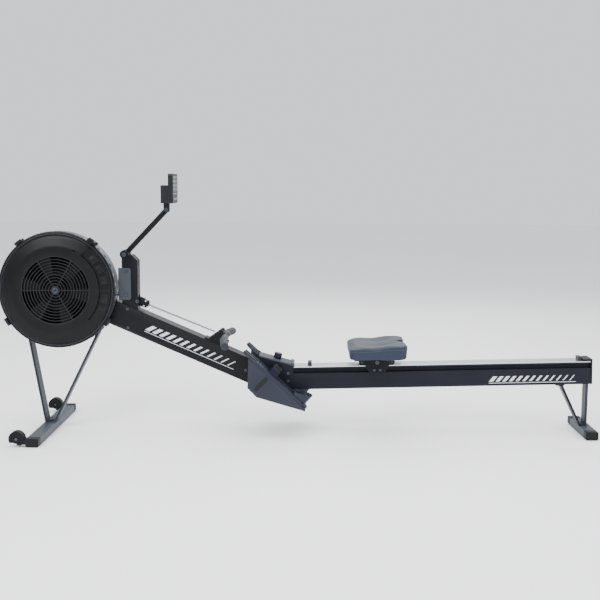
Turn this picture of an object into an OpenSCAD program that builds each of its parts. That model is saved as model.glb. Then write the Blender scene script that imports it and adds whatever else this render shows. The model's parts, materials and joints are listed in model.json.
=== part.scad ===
// Air rowing machine: a fan housing on a front stand, a sloping main beam, a seat rail and a rear stand.
// Millimetres, +X towards the rear of the rail, +Y towards the far side, +Z up, floor at Z 0.

/* [Fan housing] */
// Radius of the perforated fan band
fan_r = 236; // [228:1:244]
// Height of the fan's axle above the floor
hub_z = 597; // [590:1:610]
// Distance from the fan's axle to the middle of the machine
hub_back = 985; // [975:1:995]
// Thickness of the moulded covers and of the band
shell_t = 3; // [2:0.5:4]
// Width of the perforated band across the machine
band_w = 88; // [80:1:96]
// Depth of the near cover, from its rim to its face
cover_depth = 22; // [18:1:28]
// Radius of the air intake grille
grille_r = 139; // [120:1:150]
// Number of grille rings
grille_rings = 9; // [5:1:12]
// Number of blades on the fan wheel
blade_count = 24; // [12:1:36]
// Number of sprocket teeth
sprocket_teeth = 14; // [12:1:16]

/* [Frame] */
// Width of the main beam and of the rail
beam_w = 80; // [70:1:90]
// Height of the main beam, square to its slope
beam_h = 98; // [90:1:104]
// Wall of the main beam
beam_wall = 3; // [2:0.5:4]
// Slope of the main beam
beam_slope = 23.3; // [22:0.1:25]
// Slope of the rail, up towards the rear
rail_slope = 1.51; // [0.5:0.01:2]
// Height of the rail, square to its slope
rail_h = 92; // [84:1:96]
// Distance from the middle of the machine to the rail's rear end
rail_end = 1209; // [1100:1:1300]
// Thickness of the steel track on the rail
track_t = 4; // [3:0.5:5]
// Thickness of the stand straps
strap_t = 10; // [8:1:12]
// Width of the stand straps
strap_w = 52; // [44:1:60]
// Length of the front crossbar, caps included
front_span = 606; // [540:1:660]
// Length of the rear crossbar, caps included
rear_span = 276; // [240:1:320]
// Radius of the transport wheels
wheel_r = 21; // [18:1:22]

/* [Foot rests] */
// Slope of the foot boards
board_slope = 42.3; // [40:0.1:44]
// Length of each foot board
board_len = 346; // [320:1:360]
// Width of each foot board
board_w = 84; // [76:1:90]
// Distance from the centre plane to the inner edge of each foot board
board_in = 50; // [50:1:56]

/* [Seat] */
// Length of the seat pad, front to back
seat_len = 247; // [220:1:270]
// Width of the seat pad
seat_w = 300; // [260:1:320]
// Distance from the middle of the machine to the carriage's centre
seat_x = 326; // [300:1:350]
// Radius of the upper rollers
roller_r = 13; // [10:0.5:14]
// Radius of the lower rollers
low_roller_r = 8; // [6:0.5:9]

/* [Handle and monitor] */
// Width of the handle
handle_w = 400; // [360:1:440]
// Radius of the handle's grips
grip_r = 16; // [13:0.5:17]
// Reach of the monitor arm between its pivots
arm_len = 252; // [220:1:270]
// Angle of the monitor arm above level
arm_angle = 46.6; // [40:0.1:50]
// Width of the monitor
monitor_w = 140; // [120:1:160]
// Height of the monitor
monitor_h = 120; // [110:1:126]

/* [Fits] */
// Radial clearance of shafts and pins that turn in their holes
fit = 0.05; // [0.02:0.01:0.08]
// Gap between bodies that move past each other
gap = 0.5; // [0.4:0.1:1]

/* [Hidden] */
$fn = 64;

in_mm = 25.4;
chain_pitch = in_mm / 2;
hub_x = -hub_back;
beam_y = beam_w / 2;

// The near cover's rim, the band's near edge, the band's far edge, and the far cover's back
rim_y = -band_w + 8;
band_far = rim_y + band_w;
far_back = band_far + 60;
cover_r = fan_r - 14;
intake_r = min(grille_r, cover_r - 83);
face_y = rim_y - cover_depth;

// Beam: a line along its centre, from the fan band down to the mitre joint with the rail
mitre_x = -124;
mitre_z = 225;
mitre_lean = 11;
beam_top_dz = beam_h / 2 / cos(beam_slope);
function beam_z(x) = mitre_z - tan(beam_slope) * (x - mitre_x);
function beam_top(x) = beam_z(x) + beam_top_dz;
function rail_z(x) = mitre_z + tan(rail_slope) * (x - mitre_x);
rail_body_h = rail_h;
function rail_top(x) = rail_z(x) + (rail_body_h / 2 + 2) / cos(rail_slope);

// Chain line: from the guide on the mast down to the handle at rest
guide_x = -666;
guide_z = 546;
chain_slope = 22.4;
handle_x = -306;
function chain_z(x) = guide_z - tan(chain_slope) * (x - guide_x);
sprocket_r = chain_pitch / 2 / sin(180 / sprocket_teeth);

// Places a child at x, z, with its local X axis turned down by a slope
module at(x, z, down = 0) { translate([x, 0, z]) rotate([0, down, 0]) children(); }
// A cylinder across the machine, from y0 to y1
module bar_y(r, y0, y1, facets = 64)
    translate([0, y1, 0]) rotate([90, 0, 0]) cylinder(r = r, h = y1 - y0, $fn = facets);
// Extrudes an X-Z outline across the machine, from y0 to y1
module slab(y0, y1) { translate([0, y1, 0]) rotate([90, 0, 0]) linear_extrude(y1 - y0) children(); }
// Turns a radius-depth outline round the fan's axle; depth runs along +Y
module around_hub(start = 0, sweep = 360) {
    at(hub_x, hub_z) rotate([90, 0, 0]) rotate([0, 0, start]) mirror([0, 0, 1])
        rotate_extrude(angle = sweep, $fn = 120) children();
}
module hub_at(angle, r) { at(hub_x, hub_z) rotate([0, -angle, 0]) translate([r, 0, 0]) children(); }
module both_sides() { children(); mirror([0, 1, 0]) children(); }
// A rectangle with round corners
module soft_rect(w, h, r) {
    translate([-w / 2 + r, -h / 2]) square([w - 2 * r, h]);
    translate([-w / 2, -h / 2 + r]) square([w, h - 2 * r]);
    for (sx = [-1, 1], sz = [-1, 1]) translate([sx * (w / 2 - r), sz * (h / 2 - r)]) circle(r, $fn = 24);
}
// A flat bar with round ends, drawn between two points; the bar's sides stay just inside the round ends
side_inset = 0.1;
module link_2d(a, b, r) {
    d = b - a;
    translate(a) rotate(atan2(d[1], d[0])) translate([0, side_inset - r])
        square([norm(d), 2 * (r - side_inset)]);
    translate(a) circle(r);
    translate(b) circle(r);
}

/* main beam and the parts welded or bolted to it */
saddle_t = 5;
skin_gap = 0.1;
saddle_r = fan_r + saddle_t;
beam_angle0 = -37;
beam_angle1 = -12;
module beam_cut() {
    at(mitre_x - 0.5, mitre_z, -mitre_lean) translate([0, -100, -200]) cube([400, 200, 400]);
}
module main_beam() color("#262a32") {
    difference() {
        at(mitre_x, mitre_z, beam_slope) translate([-760, -beam_y, -beam_h / 2]) cube([900, beam_w, beam_h]);
        at(mitre_x, mitre_z, beam_slope) translate([-761, -beam_y + beam_wall, -beam_h / 2 + beam_wall])
            cube([902, beam_w - 2 * beam_wall, beam_h - 2 * beam_wall]);
        at(hub_x, hub_z) bar_y(saddle_r - 0.5, -100, 100, 120);
        beam_cut();
    }
    around_hub(beam_angle0, beam_angle1 - beam_angle0)
        translate([fan_r + skin_gap, -beam_y + 4]) square([saddle_t, beam_w - 8]);
}

bearing_r = 17.5;
arm_t = 6;
arm_plate_y = beam_y;
module frame_arm() color("#3a3d42") difference() {
    union() {
        slab(arm_plate_y, arm_plate_y + arm_t)
            polygon([[hub_x - 24, hub_z + 26], [hub_x + 40, hub_z + 30], [-680, beam_z(-680) + 34],
                     [-650, beam_z(-650) - 30], [-700, beam_z(-700) - 34], [hub_x - 24, hub_z - 26]]);
        at(hub_x, hub_z) bar_y(bearing_r + 8, arm_plate_y - 20, arm_plate_y + arm_t);
    }
    at(hub_x, hub_z) bar_y(bearing_r, arm_plate_y - 21, arm_plate_y + arm_t + 1);
}

mast_x0 = -728;
mast_x1 = -663;
mast_top = 736;
mast_y = 30;
ear_x = -717.6;
ear_z = 738.8;
ear_r = 18;
pin_r = 5;
mast_wall = 4;
module mast_side() polygon([
    [mast_x0, beam_top(mast_x0)], [mast_x1, beam_top(mast_x1)], [mast_x1, mast_top - 22],
    [mast_x1 - 22, mast_top], [ear_x + ear_r, mast_top], [ear_x + ear_r, ear_z], [mast_x0, ear_z]]);
module mast() color("#2b2e34") difference() {
    union() {
        slab(-mast_y, mast_y) mast_side();
        at(ear_x, ear_z) bar_y(ear_r, -mast_y, mast_y);
    }
    // hollow, open above, with the arm's slot between the ears
    translate([mast_x0 + mast_wall, -mast_y + mast_wall, beam_top(mast_x1) - 40])
        cube([mast_x1 - mast_x0 - 2 * mast_wall, 2 * (mast_y - mast_wall), 200 - mast_wall]);
    translate([mast_x0 - 20, -arm_half - gap, mast_top - 45]) cube([120, 2 * (arm_half + gap), 100]);
    at(ear_x, ear_z) bar_y(pin_r, -50, 50);
    // chain slots, front and rear
    translate([mast_x0 - 1, -9, inner_z(mast_x0) - 16]) cube([mast_wall + 2, 18, 32]);
    translate([mast_x1 - mast_wall - 1, -guide_half - gap, guide_z - 24])
        cube([mast_wall + 2, 2 * (guide_half + gap), 48]);
    at(guide_x, guide_z) bar_y(pin_r, -50, 50);
    for (z = [adapter_bolt_low, adapter_bolt_high]) translate([adapter_bolt_x, 0, z]) bar_y(4, -60, 0, 32);
}

adapter_bolt_x = -710;
adapter_bolt_low = 575;
adapter_bolt_high = 673;
module adapter_plate() color("#8f959c") difference() {
    slab(-mast_y - 6, -mast_y) union() {
        translate([-742, 552]) square([42, 132]);
        translate([-712, 552]) translate([11, 66]) soft_rect(22, 132, 10);
    }
    for (z = [adapter_bolt_low, adapter_bolt_high]) translate([adapter_bolt_x, 0, z]) bar_y(4, -60, 0, 32);
}

/* front stand */
front_x = -1038.4;
leg_foot_half = 20;
bar_top = 33;
function hub_pt(a, r) = [hub_x + r * cos(a), hub_z + r * sin(a)];
leg_left = hub_pt(-124.29, saddle_r - 1.36);
leg_right = hub_pt(-51.3, saddle_r - 0.1);
leg_angle_left = 236;
leg_angle_right = 308.7;
module leg_path(t) {
    base_l = [front_x - leg_foot_half, bar_top + t / 2];
    base_r = [front_x + leg_foot_half, bar_top + t / 2];
    link_2d(base_l, base_r, t / 2);
    link_2d(base_l, leg_left, t / 2);
    link_2d(base_r, leg_right, t / 2);
}
module front_leg() color("#5a6068") difference() {
    union() {
        difference() {
            slab(-strap_w / 2, strap_w / 2) leg_path(strap_t);
            at(hub_x, hub_z) bar_y(saddle_r - 0.5, -60, 60, 120);
        }
        for (a = [leg_angle_left, leg_angle_right]) around_hub(a - 8, 16)
            translate([fan_r + skin_gap, -strap_w / 2 - 2]) square([saddle_t, strap_w / 2 + 2 + band_far]);
    }
    translate([front_x, 0, 0]) cylinder(r = 4, h = 60, $fn = 32);
}
cap_len = 30;
bar_w = 50;
bar_wall = 3;
module crossbar(x, span, hole_x) difference() {
    translate([x - bar_w / 2, -span / 2 + cap_len, 4]) cube([bar_w, span - 2 * cap_len, bar_top - 4]);
    translate([x - bar_w / 2 + bar_wall, -span, 4 + bar_wall])
        cube([bar_w - 2 * bar_wall, 2 * span, bar_top - 4 - 2 * bar_wall]);
    translate([hole_x, 0, 0]) cylinder(r = 4, h = 60, $fn = 32);
}
module crossbars() color("#6a727c") {
    crossbar(front_x, front_span, front_x);
    crossbar(rear_x, rear_span, rear_x - 8);
}
wheel_x = -1100;
wheel_z = 33;
wheel_y = front_span / 2 - cap_len / 2;
wheel_half = 9;
fork_t = 5;
axle_r = 4;
module cap_profile(w, h, chamfer) polygon([
    [-w / 2, chamfer], [-w / 2 + chamfer, 0], [w / 2 - chamfer, 0], [w / 2, chamfer],
    [w / 2, h - 3], [w / 2 - 3, h], [-w / 2 + 3, h], [-w / 2, h - 3]]);
module wheel_fork(side) {
    outer = wheel_half + gap + fork_t;
    difference() {
        union() {
            translate([wheel_x, side * wheel_y, wheel_z]) bar_y(31, -outer, outer);
            translate([wheel_x, side * wheel_y - outer, 12])
                cube([front_x - wheel_x - bar_w / 2 + 2, 2 * outer, 22]);
        }
        translate([wheel_x, side * wheel_y, wheel_z]) bar_y(wheel_r + 3, -wheel_half - gap, wheel_half + gap);
        translate([wheel_x - 60, side * wheel_y - 40, -30]) cube([62, 80, 48]);
        translate([wheel_x - 20, side * wheel_y - 40, -30]) cube([46, 80, 38]);
        translate([wheel_x - 60, side * wheel_y - wheel_half - gap, 0])
            cube([60, 2 * (wheel_half + gap), 38]);
        translate([wheel_x, side * wheel_y, wheel_z]) bar_y(axle_r, -40, 40, 32);
    }
}
module end_cap(x, span) translate([x, 0, 0]) slab(span / 2 - cap_len, span / 2)
    cap_profile(bar_w + 2, bar_top + 2, 6);
module end_caps() color("#22242a") {
    both_sides() end_cap(front_x, front_span);
    both_sides() end_cap(rear_x, rear_span);
    for (side = [-1, 1]) wheel_fork(side);
}
module wheel(side) translate([wheel_x, side * wheel_y, wheel_z]) difference() {
    bar_y(wheel_r, -wheel_half, wheel_half);
    bar_y(axle_r + fit, -30, 30, 32);
}
module wheel_left() color("#303238") wheel(-1);
module wheel_right() color("#303238") wheel(1);
module wheel_axles() color("#c8cdd2") for (side = [-1, 1])
    translate([wheel_x, side * wheel_y, wheel_z]) {
        half = wheel_half + gap + fork_t;
        bar_y(axle_r, -half, half, 32);
        translate([0, side < 0 ? -half - 3 : half, 0]) bar_y(7, 0, 3, 6);
    }

/* fan housing */
module fan_band() color("#8d949b") difference() {
    around_hub() {
        translate([fan_r - shell_t, rim_y + 2]) square([shell_t, band_w - 2]);
        translate([fan_r - shell_t, rim_y + 2]) square([shell_t + 2.5, 6]);
        translate([fan_r - shell_t - 12, rim_y + 2]) square([14, 3]);
    }
    for (i = [0 : 35]) hub_at(i * 10 + 5, fan_r - 15) translate([0, -66, -7]) cube([30, 26, 14]);
    for (i = [0 : 35]) hub_at(i * 10 + 5, fan_r - 15) translate([0, -34, -7]) cube([12, 26, 14]);
    // the chain's window
    hub_at(window_angle, fan_r - 20) translate([0, -9, -14]) cube([40, 18, 28]);
}
step_in_r = cover_r - 48;
step_out_r = cover_r - 38;
module near_cover_profile() polygon([
    [cover_r, rim_y], [cover_r, rim_y - 6], [cover_r - 4, rim_y - 9], [step_out_r, face_y + 3],
    [step_in_r, face_y], [intake_r + 2, face_y], [intake_r, face_y + 2], [intake_r, face_y + 4],
    [step_in_r - 1, face_y + 4], [step_out_r - 1, face_y + 4 + shell_t], [cover_r - 7, rim_y - 5],
    [cover_r - 4, rim_y]]);
slot_r = cover_r - 43;
slot_half = 2.8;
slot_a0 = -42;
slot_a1 = 66;
module near_cover() color("#2c3038") difference() {
    union() {
        around_hub() near_cover_profile();
        around_hub() translate([cover_r - 10, rim_y - 2]) square([11, 4]);
    }
    around_hub(slot_a0, slot_a1 - slot_a0) translate([slot_r - slot_half, face_y - 2])
        square([2 * slot_half, 18]);
}
spoke_count = 6;
module intake_grille() color("#34383f") difference() {
    union() {
        for (i = [1 : grille_rings + 1])
            around_hub() translate([14 + i * (intake_r - 17) / (grille_rings + 1), face_y + 1])
                square([3, 5]);
        for (i = [0 : spoke_count - 1]) hub_at(i * 360 / spoke_count, 8)
            translate([0, face_y + 2, -1.5]) cube([intake_r - 9, 4, 3]);
        at(hub_x, hub_z) bar_y(18, face_y, face_y + 7);
    }
    at(hub_x, hub_z) bar_y(4, face_y - 1, face_y + 9, 32);
}
module hub_cap() color("#b4bac0") at(hub_x, hub_z) {
    difference() {
        bar_y(12, face_y - 2.5, face_y);
        bar_y(9, face_y - 3, face_y - 1);
    }
    bar_y(6, face_y - 2.5, face_y - 0.5);
    bar_y(4, face_y - 1, face_y + 7, 32);
}
module far_cover() color("#2c3038") difference() {
    around_hub() polygon([
        [fan_r, band_far], [fan_r - 3, band_far + 14], [fan_r - 10, band_far + 26],
        [fan_r - 30, far_back - 2], [fan_r - 36, far_back], [52, far_back],
        [52, far_back - shell_t], [fan_r - 37, far_back - shell_t], [fan_r - 33, far_back - 5],
        [fan_r - 13, band_far + 24], [fan_r - 6, band_far + 12], [fan_r - shell_t, band_far]]);
    translate([hub_x + 150, arm_plate_y - 22, 400]) cube([150, arm_t + 46, 260]);
}
clip_angles = [52, 128, 213, 327];
module cover_clips() color("#1f2126") for (a = clip_angles) hub_at(a, 0) difference() {
    translate([fan_r + 2.5, rim_y - 6, -17]) cube([12, band_w * 0.5, 34]);
    translate([fan_r + 8, rim_y - 2, -30]) rotate([0, 0, 0]) cube([20, 30, 22]);
}
shaft_r = 8.5;
fan_y0 = rim_y + 6;
fan_y1 = -18;
module fan_shaft() color("#b9bec4") at(hub_x, hub_z) {
    bar_y(shaft_r, fan_y0 - 8, arm_plate_y + arm_t + 6);
}
wheel_fan_r = fan_r - 31;
module fan_wheel() color("#50555c") difference() {
    at(hub_x, hub_z) union() {
        bar_y(30, fan_y0, fan_y1);
        bar_y(wheel_fan_r - 20, fan_y1 - 4, fan_y1, 96);
        for (i = [0 : blade_count - 1]) rotate([0, (i + 0.5) * 360 / blade_count, 0])
            translate([96, fan_y0 + 4, -1]) cube([wheel_fan_r - 96, fan_y1 - fan_y0 - 6, 2]);
    }
    at(hub_x, hub_z) bar_y(shaft_r, -200, 200);
}
module bearings() color("#c6cacf") at(hub_x, hub_z) difference() {
    for (y = [arm_plate_y - 20, arm_plate_y - 7]) translate([0, y, 0]) bar_y(bearing_r, 0, 12);
    bar_y(shaft_r + fit, -100, 100);
}
module sprocket() color("#9aa0a6") at(hub_x, hub_z) difference() {
    union() {
        bar_y(sprocket_r - 3, -3, 3);
        bar_y(14, -9, 9);
        for (i = [0 : sprocket_teeth - 1]) rotate([0, i * 360 / sprocket_teeth, 0])
            translate([sprocket_r - 4, -1.5, -2.2]) cube([6, 3, 4.4]);
    }
    bar_y(shaft_r, -20, 20);
}

/* chain */
guide_half = 13;
guide_plate = 3;
plate_t = 1.2;
chain_half = 4;
chain_plate_r = 4;
pad_r = 6;
module guide_side() link_2d([0, 0], [30, 0], 17);
module pad_places() for (s = [-1, 1]) translate([30, 0, s * (chain_plate_r + pad_r + 1)]) children();
module chain_guide() color("#3a3e45") at(guide_x, guide_z, chain_slope) difference() {
    slab(-guide_half, guide_half) guide_side();
    slab(-guide_half + guide_plate, guide_half - guide_plate) {
        translate([-30, -30]) square([80, 60]);
    }
    bar_y(pin_r + fit, -50, 50);
    pad_places() bar_y(3, -50, 50, 32);
}
module guide_pads() color("#d8d8d8") at(guide_x, guide_z, chain_slope) pad_places() {
    bar_y(pad_r, -guide_half + guide_plate, guide_half - guide_plate, 32);
    bar_y(3, -guide_half, guide_half, 32);
}
module chain_run(x0, z0, x1, z1) {
    length = norm([x1 - x0, z1 - z0]);
    n = floor(length / chain_pitch);
    at(x0, z0, -atan2(z1 - z0, x1 - x0)) {
        for (y = [-chain_half, chain_half - plate_t]) slab(y, y + plate_t)
            union() {
                for (i = [0 : n]) translate([i * chain_pitch, 0]) circle(chain_plate_r, $fn = 16);
                translate([0, -2.6]) square([n * chain_pitch, 5.2]);
            }
        slab(-chain_half + plate_t, chain_half - plate_t) for (i = [0 : n])
            translate([i * chain_pitch, 0]) circle(3, $fn = 16);
    }
}
chain_start = 4;
module pull_chain() color("#9ea3a9") chain_run(
    guide_x + chain_start * cos(chain_slope), guide_z - chain_start * sin(chain_slope),
    handle_x - 34, chain_z(handle_x - 34));
chain_in = [hub_x + 8, hub_z + sprocket_r + 4.6];
inner_slope = (guide_z - chain_in[1]) / (guide_x - chain_in[0]);
function inner_z(x) = guide_z + inner_slope * (x - guide_x);
window_angle = atan2(inner_z(hub_x + fan_r) - hub_z, fan_r);
module inner_chain() color("#9ea3a9") chain_run(
    chain_in[0], chain_in[1], guide_x - 6, inner_z(guide_x - 6));

/* damper */
ring_y = face_y + 8;
lever_angle = 54;
module damper_ring() color("#24272d") {
    difference() {
        around_hub() {
            translate([60, ring_y]) square([slot_r + 2 - 60, 2.5]);
        }
        for (i = [0 : 5]) around_hub(i * 60 + 4, 34) translate([70, ring_y - 1]) square([70, 5]);
    }
}
module damper_lever() color("#1d1f24") {
    hub_at(lever_angle, 0) {
        translate([slot_r - 2, face_y - 6, -2]) cube([4, ring_y - face_y + 6, 4]);
        translate([slot_r - 2, face_y - 8, -3]) cube([cover_r + 26 - slot_r, 4, 6]);
        difference() {
            translate([cover_r + 18, face_y - 8, -13]) cube([20, 20, 26]);
            for (i = [-1 : 1]) translate([cover_r + 34, face_y - 9, i * 8 - 1.5]) cube([6, 22, 3]);
        }
    }
}

/* monitor */
arm_half = 4;
tilt_x = ear_x + arm_len * cos(arm_angle);
tilt_z = ear_z + arm_len * sin(arm_angle);
boss_r = 12;
module monitor_arm() color("#2b2e34") difference() {
    slab(-arm_half, arm_half) link_2d([ear_x, ear_z], [tilt_x, tilt_z], boss_r - 1.5);
    at(ear_x, ear_z) bar_y(pin_r + fit, -50, 50);
    at(tilt_x, tilt_z) bar_y(pin_r + fit, -50, 50);
}
monitor_x = tilt_x + 16;
monitor_t = 20;
monitor_low = tilt_z + 27;
module monitor_back() color("#2a2c31") difference() {
    union() {
        translate([monitor_x - 35, -36, monitor_low]) cube([35, 72, 73]);
        for (y = [-arm_half - gap - 6, arm_half + gap]) slab(y, y + 6)
            link_2d([tilt_x, tilt_z], [tilt_x, monitor_low + 10], boss_r);
        translate([monitor_x - 38, -8, monitor_low + 32]) cube([4, 16, 12]);
    }
    at(tilt_x, tilt_z) bar_y(pin_r, -50, 50);
    slab(-arm_half - gap, arm_half + gap) translate([tilt_x, tilt_z]) circle(boss_r + 2);
}
module monitor_housing() color("#303338") difference() {
    translate([monitor_x, 0, monitor_low + monitor_h / 2]) rotate([90, 0, 90])
        linear_extrude(monitor_t) soft_rect(monitor_w, monitor_h, 10);
    translate([monitor_x + monitor_t - 4, -lens_w / 2, lens_z]) cube([10, lens_w, lens_h]);
    for (y = button_ys) translate([monitor_x + monitor_t - 9, y - button_w / 2 - gap, button_z - 5 - gap])
        cube([20, button_w + 2 * gap, 10 + 2 * gap]);
}
lens_w = monitor_w - 28;
lens_h = monitor_h - 46;
lens_z = monitor_low + 36;
button_z = monitor_low + 18;
button_w = 24;
button_ys = [-36, 0, 36];
module screen_lens() color("#8c969a")
    translate([monitor_x + monitor_t - 4, -lens_w / 2, lens_z]) cube([3.5, lens_w, lens_h]);
module monitor_button(y) translate([monitor_x + monitor_t - 5, y, button_z]) rotate([90, 0, 90])
    linear_extrude(7) soft_rect(button_w, 10, 3);
module button_left() color("#c7ccd1") monitor_button(button_ys[0]);
module button_middle() color("#c7ccd1") monitor_button(button_ys[1]);
module button_right() color("#c7ccd1") monitor_button(button_ys[2]);
module tilt_bolt() color("#c8cdd2") at(tilt_x, tilt_z) {
    half = arm_half + gap + 6;
    bar_y(pin_r, -half, half);
    for (y = [-half - 3, half]) translate([0, y, 0]) bar_y(8.5, 0, 3, 6);
}

/* handle */
handle_z = chain_z(handle_x);
bend_y = 95;
bend_dx = 14;
bend_dz = -8;
core_r = 8;
module tube_between(a, b, r) {
    d = b - a;
    translate(a) rotate([0, acos(d[2] / norm(d)), atan2(d[1], d[0])]) cylinder(r = r, h = norm(d));
}
function handle_end(s, k) = [handle_x + bend_dx * k, s * (bend_y + (handle_w / 2 - bend_y) * k),
                             handle_z + bend_dz * k];
module handle_bar() color("#6f757d") {
    at(handle_x, handle_z) bar_y(core_r, -bend_y, bend_y);
    for (s = [-1, 1]) {
        translate([handle_x, s * bend_y, handle_z]) sphere(core_r);
        tube_between(handle_end(s, 0), handle_end(s, 0.97), core_r);
    }
}
module handle_grips() color("#7d858d") {
    for (s = [-1, 1]) difference() {
        tube_between(handle_end(s, 0.1), handle_end(s, 1), grip_r);
        tube_between(handle_end(s, 0), handle_end(s, 0.97), core_r);
    }
    for (s = [-1, 1]) difference() {
        at(handle_x, handle_z) bar_y(grip_r - 1.5, s > 0 ? 32 : -bend_y + 6, s > 0 ? bend_y - 6 : -32);
        at(handle_x, handle_z) bar_y(core_r, -bend_y, bend_y);
    }
}
module chain_clevis() color("#3b3f46") at(handle_x, handle_z, chain_slope) difference() {
    union() {
        bar_y(grip_r - 2, -30, 30);
        translate([-34, -8, -8]) cube([34, 16, 16]);
    }
    bar_y(core_r, -60, 60);
    translate([-40, -chain_half, -6]) cube([16, 2 * chain_half, 12]);
}
hook_x = handle_x - 58;
module handle_hook() color("#26282d") difference() {
    union() {
        at(hook_x, beam_top(hook_x), beam_slope) translate([-28, -30, 0]) cube([100, 60, 6]);
        for (s = [-1, 1]) at(hook_x, beam_top(hook_x), beam_slope)
            slab(s > 0 ? 20 : -30, s > 0 ? 30 : -20) polygon([
                [-12, 5], [70, 5], [70, 40 - grip_r - gap], [38, 40 - grip_r - gap], [34, 62], [22, 62]]);
    }
    at(handle_x, handle_z) bar_y(grip_r + gap, -40, 40);
    at(handle_x, handle_z, chain_slope - 12) translate([0, -40, -grip_r - gap])
        cube([60, 80, 2 * (grip_r + gap)]);
}

/* foot rests: local X runs down the board, local Z square to it */
foot_in = max(board_in, beam_w / 2 + 10);
board_out = foot_in + board_w;
toe = [-208.5, 366];
board_t = 12;
module on_board(down, up) {
    p = board_pt(down, up);
    at(p[0], p[1], board_slope) children();
}
function board_pt(down, up) = [toe[0] + down * cos(board_slope) + up * sin(board_slope),
                               toe[1] - down * sin(board_slope) + up * cos(board_slope)];
box_wall = 4;
module box_outline() polygon([
    board_pt(30, -22.75), board_pt(342, -22.75), [30.3, 111.4], [-168.7, 169], [-205.6, 207]]);
module box_inner() polygon([
    board_pt(36, -27), board_pt(336, -27), [24, 100], [-164, 150], [-180, 174], [-201, 208]]);
module foot_boxes() color("#484e58") both_sides() difference() {
    slab(cheek_out, board_out + 1) box_outline();
    slab(foot_in, board_out + 1 - box_wall) box_inner();
    slab(board_out - 1, board_out + 5) link_2d([-131, 243], [-170, 202], 9);
    for (p = box_bolts) translate([p[0], 0, p[1]]) bar_y(4, 0, 60, 32);
}
module foot_boards() color("#5a616b") both_sides() {
    on_board(0, 0) {
        translate([0, foot_in, -22.7]) cube([board_len, board_w, 22.7 - 10]);
    }
}
strap_down = 128;
module strap_buckle() translate([4, foot_in + 14, 24]) difference() {
    cube([32, 46, 5]);
    for (i = [0 : 3]) translate([4, 6 + i * 9, 2]) cube([24, 5, 5]);
}
module foot_straps() color("#26283a") both_sides() on_board(strap_down, 0) {
    strap_buckle();
    difference() {
        translate([0, foot_in + 2, -10]) cube([40, board_w - 4, 34]);
        translate([-1, foot_in + 5, -11]) cube([42, board_w - 10, 32]);
    }
}
cup_down = 262;
module heel_cup(side) {
    w = board_w - 10;
    translate([0, side * (foot_in + board_w / 2), 0]) on_board(cup_down, 0) difference() {
        translate([0, -w / 2, -10 + gap]) cube([70, w, 52]);
        translate([-1, -w / 2 + 5, -4]) cube([64, w - 10, 60]);
        translate([0, -w, -6]) rotate([0, -28, 0]) translate([-60, 0, 20]) cube([140, 2 * w, 80]);
    }
}
module heel_cup_left() color("#4c525c") heel_cup(-1);
module heel_cup_right() color("#4c525c") heel_cup(1);

/* rail: local X runs along the rail from the mitre, local Z square to it */
rail_y = beam_w / 2;
rail_len = (rail_end - mitre_x) / cos(rail_slope);
groove_top = 6;
groove_h = 2 * low_roller_r + 2;
groove_d = 13;
module on_rail(x, up) { at(x, rail_z(x) + up / cos(rail_slope), -rail_slope) children(); }
low_z = rail_body_h / 2 - groove_top - groove_h / 2;
module rail_section() difference() {
    square([2 * rail_y, rail_body_h], center = true);
    for (s = [-1, 1]) translate([s * rail_y, low_z]) square([2 * groove_d, groove_h], center = true);
    translate([0, -14]) square([2 * rail_y - 8, rail_body_h - 40], center = true);
}
module rail() color("#282c3c") difference() {
    at(mitre_x, mitre_z, -rail_slope) rotate([90, 0, 90]) linear_extrude(rail_len) rail_section();
    at(mitre_x + 0.5, mitre_z, -mitre_lean) translate([-400, -100, -200]) cube([400, 200, 400]);
}
module rail_track() color("#c2c6cb") difference() {
    at(mitre_x, mitre_z, -rail_slope) translate([14, -rail_y, rail_body_h / 2])
        cube([rail_len - 14, 2 * rail_y, track_t]);
    at(mitre_x + 60, mitre_z) translate([-90, -100, 0]) cube([44, 200, 200]);
}
cheek_t = 5;
cheek_in = rail_y + 0.2;
cheek_out = cheek_in + cheek_t;
cover_x = -160;
cover_z0 = 318.4;
function cover_low(x) = cover_z0 - tan(cover_slope) * (x - cover_x);
// Bolts through the cheeks and the foot boxes, and bolts that hold the cheeks to the rail
box_bolts = [board_pt(139.1, -60), board_pt(199.5, -40.2)];
rail_bolts = [[-104, 272], [-42, 252], [-42, 218]];
module rail_socket() color("#262a3a") difference() {
    both_sides() slab(cheek_in, cheek_out) polygon([
        [cover_x, cover_low(cover_x)], [-158, 206], [-100, 188], [-24, 188], [-18, cover_low(-18)]]);
    for (p = concat(box_bolts, rail_bolts)) translate([p[0], 0, p[1]]) bar_y(4, -60, 60, 32);
}
cover_slope = 14.6;
cover_t = 6;
cover_len = 146;
module socket_cover() color("#80868e") difference() {
    at(cover_x, cover_z0, cover_slope) {
        translate([-4, -cheek_out, 0]) cube([cover_len + 4, 2 * cheek_out, cover_t]);
        translate([cover_len - 14, -cheek_out, 0]) cube([14, 2 * cheek_out, cover_t + 5]);
    }
    at(knob_x, knob_seat, cover_slope) translate([0, 0, -20])
        cylinder(r = knob_pin_r + fit, h = 40, $fn = 48);
}
knob_pin_r = 5;
knob_x = -88;
knob_seat = cover_low(knob_x) + cover_t / cos(cover_slope);
module lock_knob() color("#1b1c2a") at(knob_x, knob_seat + 0.2, cover_slope) difference() {
    union() {
        translate([0, 0, 0.3]) cylinder(r = 17, h = 24, $fn = 10);
        translate([0, 0, -16]) cylinder(r = knob_pin_r, h = 18, $fn = 48);
    }
    translate([0, 0, 22]) cylinder(r = 11, h = 5, $fn = 48);
}
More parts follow.
